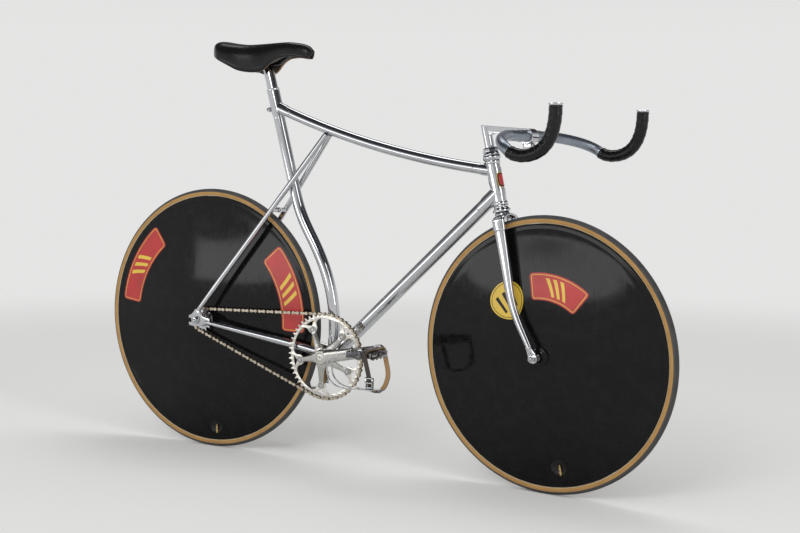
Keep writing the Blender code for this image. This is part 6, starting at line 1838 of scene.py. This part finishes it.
perch = {
    "post": 0.0135,
    "voxel": 0.0008,
    "smoothing": 4,
    "rear": 0.1450,
    "nose": 0.1427,
    "halfWidth": 0.068,
    "stations": 56,
    "top": mm(
        (-145, 39.5), (-142, 46.5), (-135, 54), (-117.6, 60), (-81.3, 54), (-32.9, 48.7), (67, 50.1),
        (106.4, 45.6), (130.6, 38.3), (142.7, 27),
    ),
    "edge": mm(
        (-145, 38.5), (-138, 30.5), (-125, 21.5), (-105.7, 12), (-67.5, -7.8), (-48.9, -16.9), (-28.9, -21.3),
        (-10.4, -22.8), (3.4, -22.2), (18, -16), (34, -1.5), (50, 7.7), (67, 12.4), (91.8, 13.1), (125, 8),
        (133, 7.8), (138.5, 11.8), (142.7, 20.5),
    ),
    # Thousandths of the half width
    "wide": mm(
        (-145, 50), (-143, 200), (-140, 330), (-130, 600), (-120, 790), (-100, 960), (-63.1, 880),
        (-8.7, 630), (24.7, 510), (67, 370), (106.4, 290), (130.6, 220), (142.7, 100),
    ),
    "rail": 0.0035,
    "pad": 0.0060,
    "roll": 0.0012,
    "shell": 0.0025,
}
clampPoint = seatTop + postUp * bike["postShown"] + Vector((-0.0061, 0, 0))


def nearClamp(*rows):
    # Points in millimetres from the clamp
    return [Vector(p) for p in mm(*rows, at=clampPoint)]


def buildPost():
    top = seatTop + postUp * (bike["postShown"] - 0.024)
    pipe = rodShape(seatTop - postUp * 0.06, top, perch["post"], 48, yAxis)
    # The head bends backwards out of the tube and thins towards the clamp.
    bend = nearClamp(
        (14.9, 0, -33.2), (12.3, 0, -23.2), (9.6, 0, -16.5), (4.4, 0, -11.5), (-3, 0, -8.8), (-12, 0, -7.8),
        (-26.5, 0, -7.6),
    )
    sizes = mm((13.5, 13.5), (13.5, 13.4), (13.3, 12.4), (12.8, 10.8), (12, 8.8), (11.2, 6.6), (8.5, 3.4))
    path = throughPath(bend, 4)
    wides, talls = ([(i, size[j]) for i, size in enumerate(sizes)] for j in (0, 1))
    radii = [(smoothValue(wides, k / 4), smoothValue(talls, k / 4)) for k in range(len(path))]
    cradle = boxShape(clampPoint, (-16, -24.5, -9.3), (12, 24.5, -3.8))
    body = fused([pipe, tubeShape(path, radii, 48), cradle], perch["voxel"], perch["smoothing"])
    addPiece("seatPost", "seat", [body], "chrome", crease=45)
    at, low = clampPoint - xAxis * 0.0225, perch["rail"] + gap
    shapes = [boxShape(clampPoint, (-26.5, -24.5, 3.8), (11, 24.5, 8.3))]
    for start, end, radius, sides in (
        (-0.0200, low + 0.0065, 0.0030, 20),
        (-0.0215, -0.0175, 0.0050, 28),
        (low + 0.003, low + 0.0075, 0.0048, 6),
    ):
        shapes.append(rodShape(at + zAxis * start, at + zAxis * end, radius, sides))
    addPiece("saddleClamp", "seat", shapes, "steel", bevel=0.0006)


def saddleHalf(x, off):
    # Half a section as (sideways, up) points, drawn in by an offset.
    top, edge = smoothValue(perch["top"], x), smoothValue(perch["edge"], x)
    wide = perch["halfWidth"] * smoothValue(perch["wide"], x)
    squeeze, narrow = max(1 - off / (top - edge), 0.04), max(1 - off / wide, 0.04)
    around = [(0, 1), (0.22, 0.990), (0.42, 0.962), (0.62, 0.905), (0.78, 0.820), (0.89, 0.700)]
    around += [(0.955, 0.550), (0.975, 0.360), (0.972, 0.180), (0.970, 0)]
    return [(w * wide * narrow, edge + (top - edge) * h * squeeze) for w, h in around]


def saddleSkin(outer, inner, roll, first=0):
    # A moulded shell between two offsets, its lower edge rolled over.
    stations = perch["stations"]
    rings = []
    for i in range(first, stations + 1 - first):
        x = -perch["rear"] + (perch["rear"] + perch["nose"]) * (0.5 - 0.5 * cos(pi * i / stations))
        over, under = saddleHalf(x, outer), saddleHalf(x, inner)
        out, into, above = over[-1], under[-1], under[-2]
        middle = ((out[0] + into[0]) / 2, min(out[1], into[1]) - roll)
        low = middle[1] + roll * 0.4
        turned = [(out[0] * 0.75 + middle[0] * 0.25, low), middle, (into[0] * 0.75 + middle[0] * 0.25, low)]
        lip = (into[0] * 0.45 + above[0] * 0.55, into[1] * 0.45 + above[1] * 0.55)
        profile = over + turned + [into, lip] + list(reversed(under[:-1]))
        mirror = [(-y, z) for y, z in reversed(profile)][1:-1]
        rings.append([clampPoint + Vector((x, y, z)) for y, z in profile + mirror])
    return rings


def coverPicks(faces, size):
    # Black outside and at both ends. The hide's cut edge shows pale along the skirt, and its inside is dark.
    picks = []
    for face in faces:
        spots = sorted(i % size for i in face)
        spot = spots[0] if spots[-1] - spots[0] < size / 2 else spots[-1]
        spot = min(spot, size - 1 - spot) if len(face) == 4 else 0
        near = min(face) // size
        plain = spot < 11 or near < 5 or near > perch["stations"] - 9
        picks.append("saddleBlack" if plain else "hideEdge" if spot < 14 else "hideDark")
    return picks


def buildSaddle():
    rings = saddleSkin(0, perch["pad"], perch["roll"])
    cover = loft(rings)
    obj = addPiece("saddleCover", "saddle", [(cover, coverPicks(cover[1], len(rings[0])))], crease=70)
    inside = perch["pad"] + gap
    shapes = [loft(saddleSkin(inside, inside + perch["shell"], 0.0, 8))]
    shapes.append(boxShape(clampPoint, (-122.5, 23, 21.5), (-111, 33, 47)))
    shapes.append(boxShape(clampPoint, (-122.5, -33, 21.5), (-111, -23, 47)))
    shapes.append(boxShape(clampPoint, (104, -9.8, 17.5), (116.5, 9.8, 33)))
    addPiece("saddleShell", "saddle", shapes, "hideDark", crease=45)
    half = nearClamp(
        (-118, 28.5, 29), (-106, 28, 18), (-80, 24.5, 4), (-50, 20, 0), (22, 20, 0), (40, 16.5, 5),
        (57, 12.8, 13), (76, 9.8, 19), (100, 6.2, 23.2), (112, 4.6, 24.5),
    )
    line = throughPath(half + [Vector((p.x, -p.y, p.z)) for p in reversed(half)], 8)
    addPiece("saddleRails", "saddle", [tubeShape(line, perch["rail"], 24, zAxis)], "darkSteel")


buildPost()
buildSaddle()
print("seat post and saddle made")

# Floor, light and backdrop

studio = {
    "floorHalf": 30.0,
    "floorColour": (0.80, 0.80, 0.79),
    "backdrop": (0.78, 0.78, 0.775),
    "ceiling": (0.050, 0.052, 0.060),
    "ambient": 0.60,
    # Place, aim, width, height and energy of each lamp
    "lamps": {
        "key": ((-1.5, -2.9, 0.60), (0.1, 0, 0.45), 2.2, 0.40, 8),
        "strip": ((0.45, -3.4, 2.4), (0.2, 0, 0.45), 1.6, 0.9, 22),
        "fill": ((3.4, -1.2, 1.7), (0.2, 0, 0.5), 0.9, 1.8, 14),
        "top": ((0.0, 0.9, 3.2), (0.1, 0, 0.4), 2.6, 1.0, 26),
    },
}


def seenRays(n):
    # 1 for the camera's rays and for what metal and glass mirror
    rays = n.add("ShaderNodeLightPath").outputs
    mirrored = n.math("MAXIMUM", rays["Is Glossy Ray"], rays["Is Transmission Ray"])
    return n.math("MAXIMUM", rays["Is Camera Ray"], mirrored)


def buildFloor():
    half = studio["floorHalf"]
    corners = [Vector((x, y, 0)) for x, y in ((-half, -half), (half, -half), (half, half), (-half, half))]
    mesh = bpy.data.meshes.new("floor")
    mesh.from_pydata(corners, [], [(0, 1, 2, 3)])
    made = bpy.data.materials.new("floorPaint")
    made.use_nodes = True
    n = Nodes(made.node_tree)
    n.tree.nodes.remove(n.tree.nodes["Principled BSDF"])
    matt = n.add("ShaderNodeBsdfDiffuse", {"Color": studio["floorColour"], "Roughness": 0.6})
    glow = n.add("ShaderNodeEmission", {"Color": studio["backdrop"], "Strength": 1.0})
    spot = n.add("ShaderNodeTexCoord").outputs["Object"]
    far = n.add("ShaderNodeVectorMath", {0: spot}, operation="LENGTH").outputs["Value"]
    fade = n.spread(far, 0, 1, 1.6, 5.0, interpolation_type="SMOOTHSTEP")
    mix = n.mixed(n.math("MULTIPLY", fade, seenRays(n)), matt, glow)
    feed(n.tree.nodes["Material Output"].inputs["Surface"], mix)
    mesh.materials.append(made)
    linked("floor", mesh)


def buildWorld():
    # Pale all round, darker overhead, so that polished tubes have something dark to show.
    world = bpy.data.worlds.new("studio")
    bpy.context.scene.world = world
    world.use_nodes = True
    n = Nodes(world.node_tree)
    n.tree.nodes.clear()
    way = n.add("ShaderNodeTexCoord").outputs["Generated"]
    height = n.add("ShaderNodeSeparateXYZ", {"Vector": way}).outputs["Z"]
    rise = n.spread(height, 0, 1, 0.12, 0.50, interpolation_type="SMOOTHSTEP")
    colour = n.blend(rise, studio["backdrop"], studio["ceiling"])
    light = n.add("ShaderNodeBackground", {"Color": (1, 1, 1), "Strength": studio["ambient"]})
    shown = n.add("ShaderNodeBackground", {"Color": colour, "Strength": 1.0})
    n.add("ShaderNodeOutputWorld", {"Surface": n.mixed(seenRays(n), light, shown)})


def addLamp(name, place, aim, wide, high, energy):
    data = bpy.data.lights.new(name, "AREA")
    data.shape = "RECTANGLE"
    data.size = wide
    data.size_y = high
    data.energy = energy
    lamp = linked(name, data)
    lamp.location = place
    lamp.visible_camera = False
    lamp.rotation_euler = (Vector(aim) - Vector(place)).to_track_quat("-Z", "Y").to_euler()


buildFloor()
buildWorld()
for name, settings in studio["lamps"].items():
    addLamp(name, *settings)
bpy.context.scene.view_settings.view_transform = "Standard"
print("studio set")
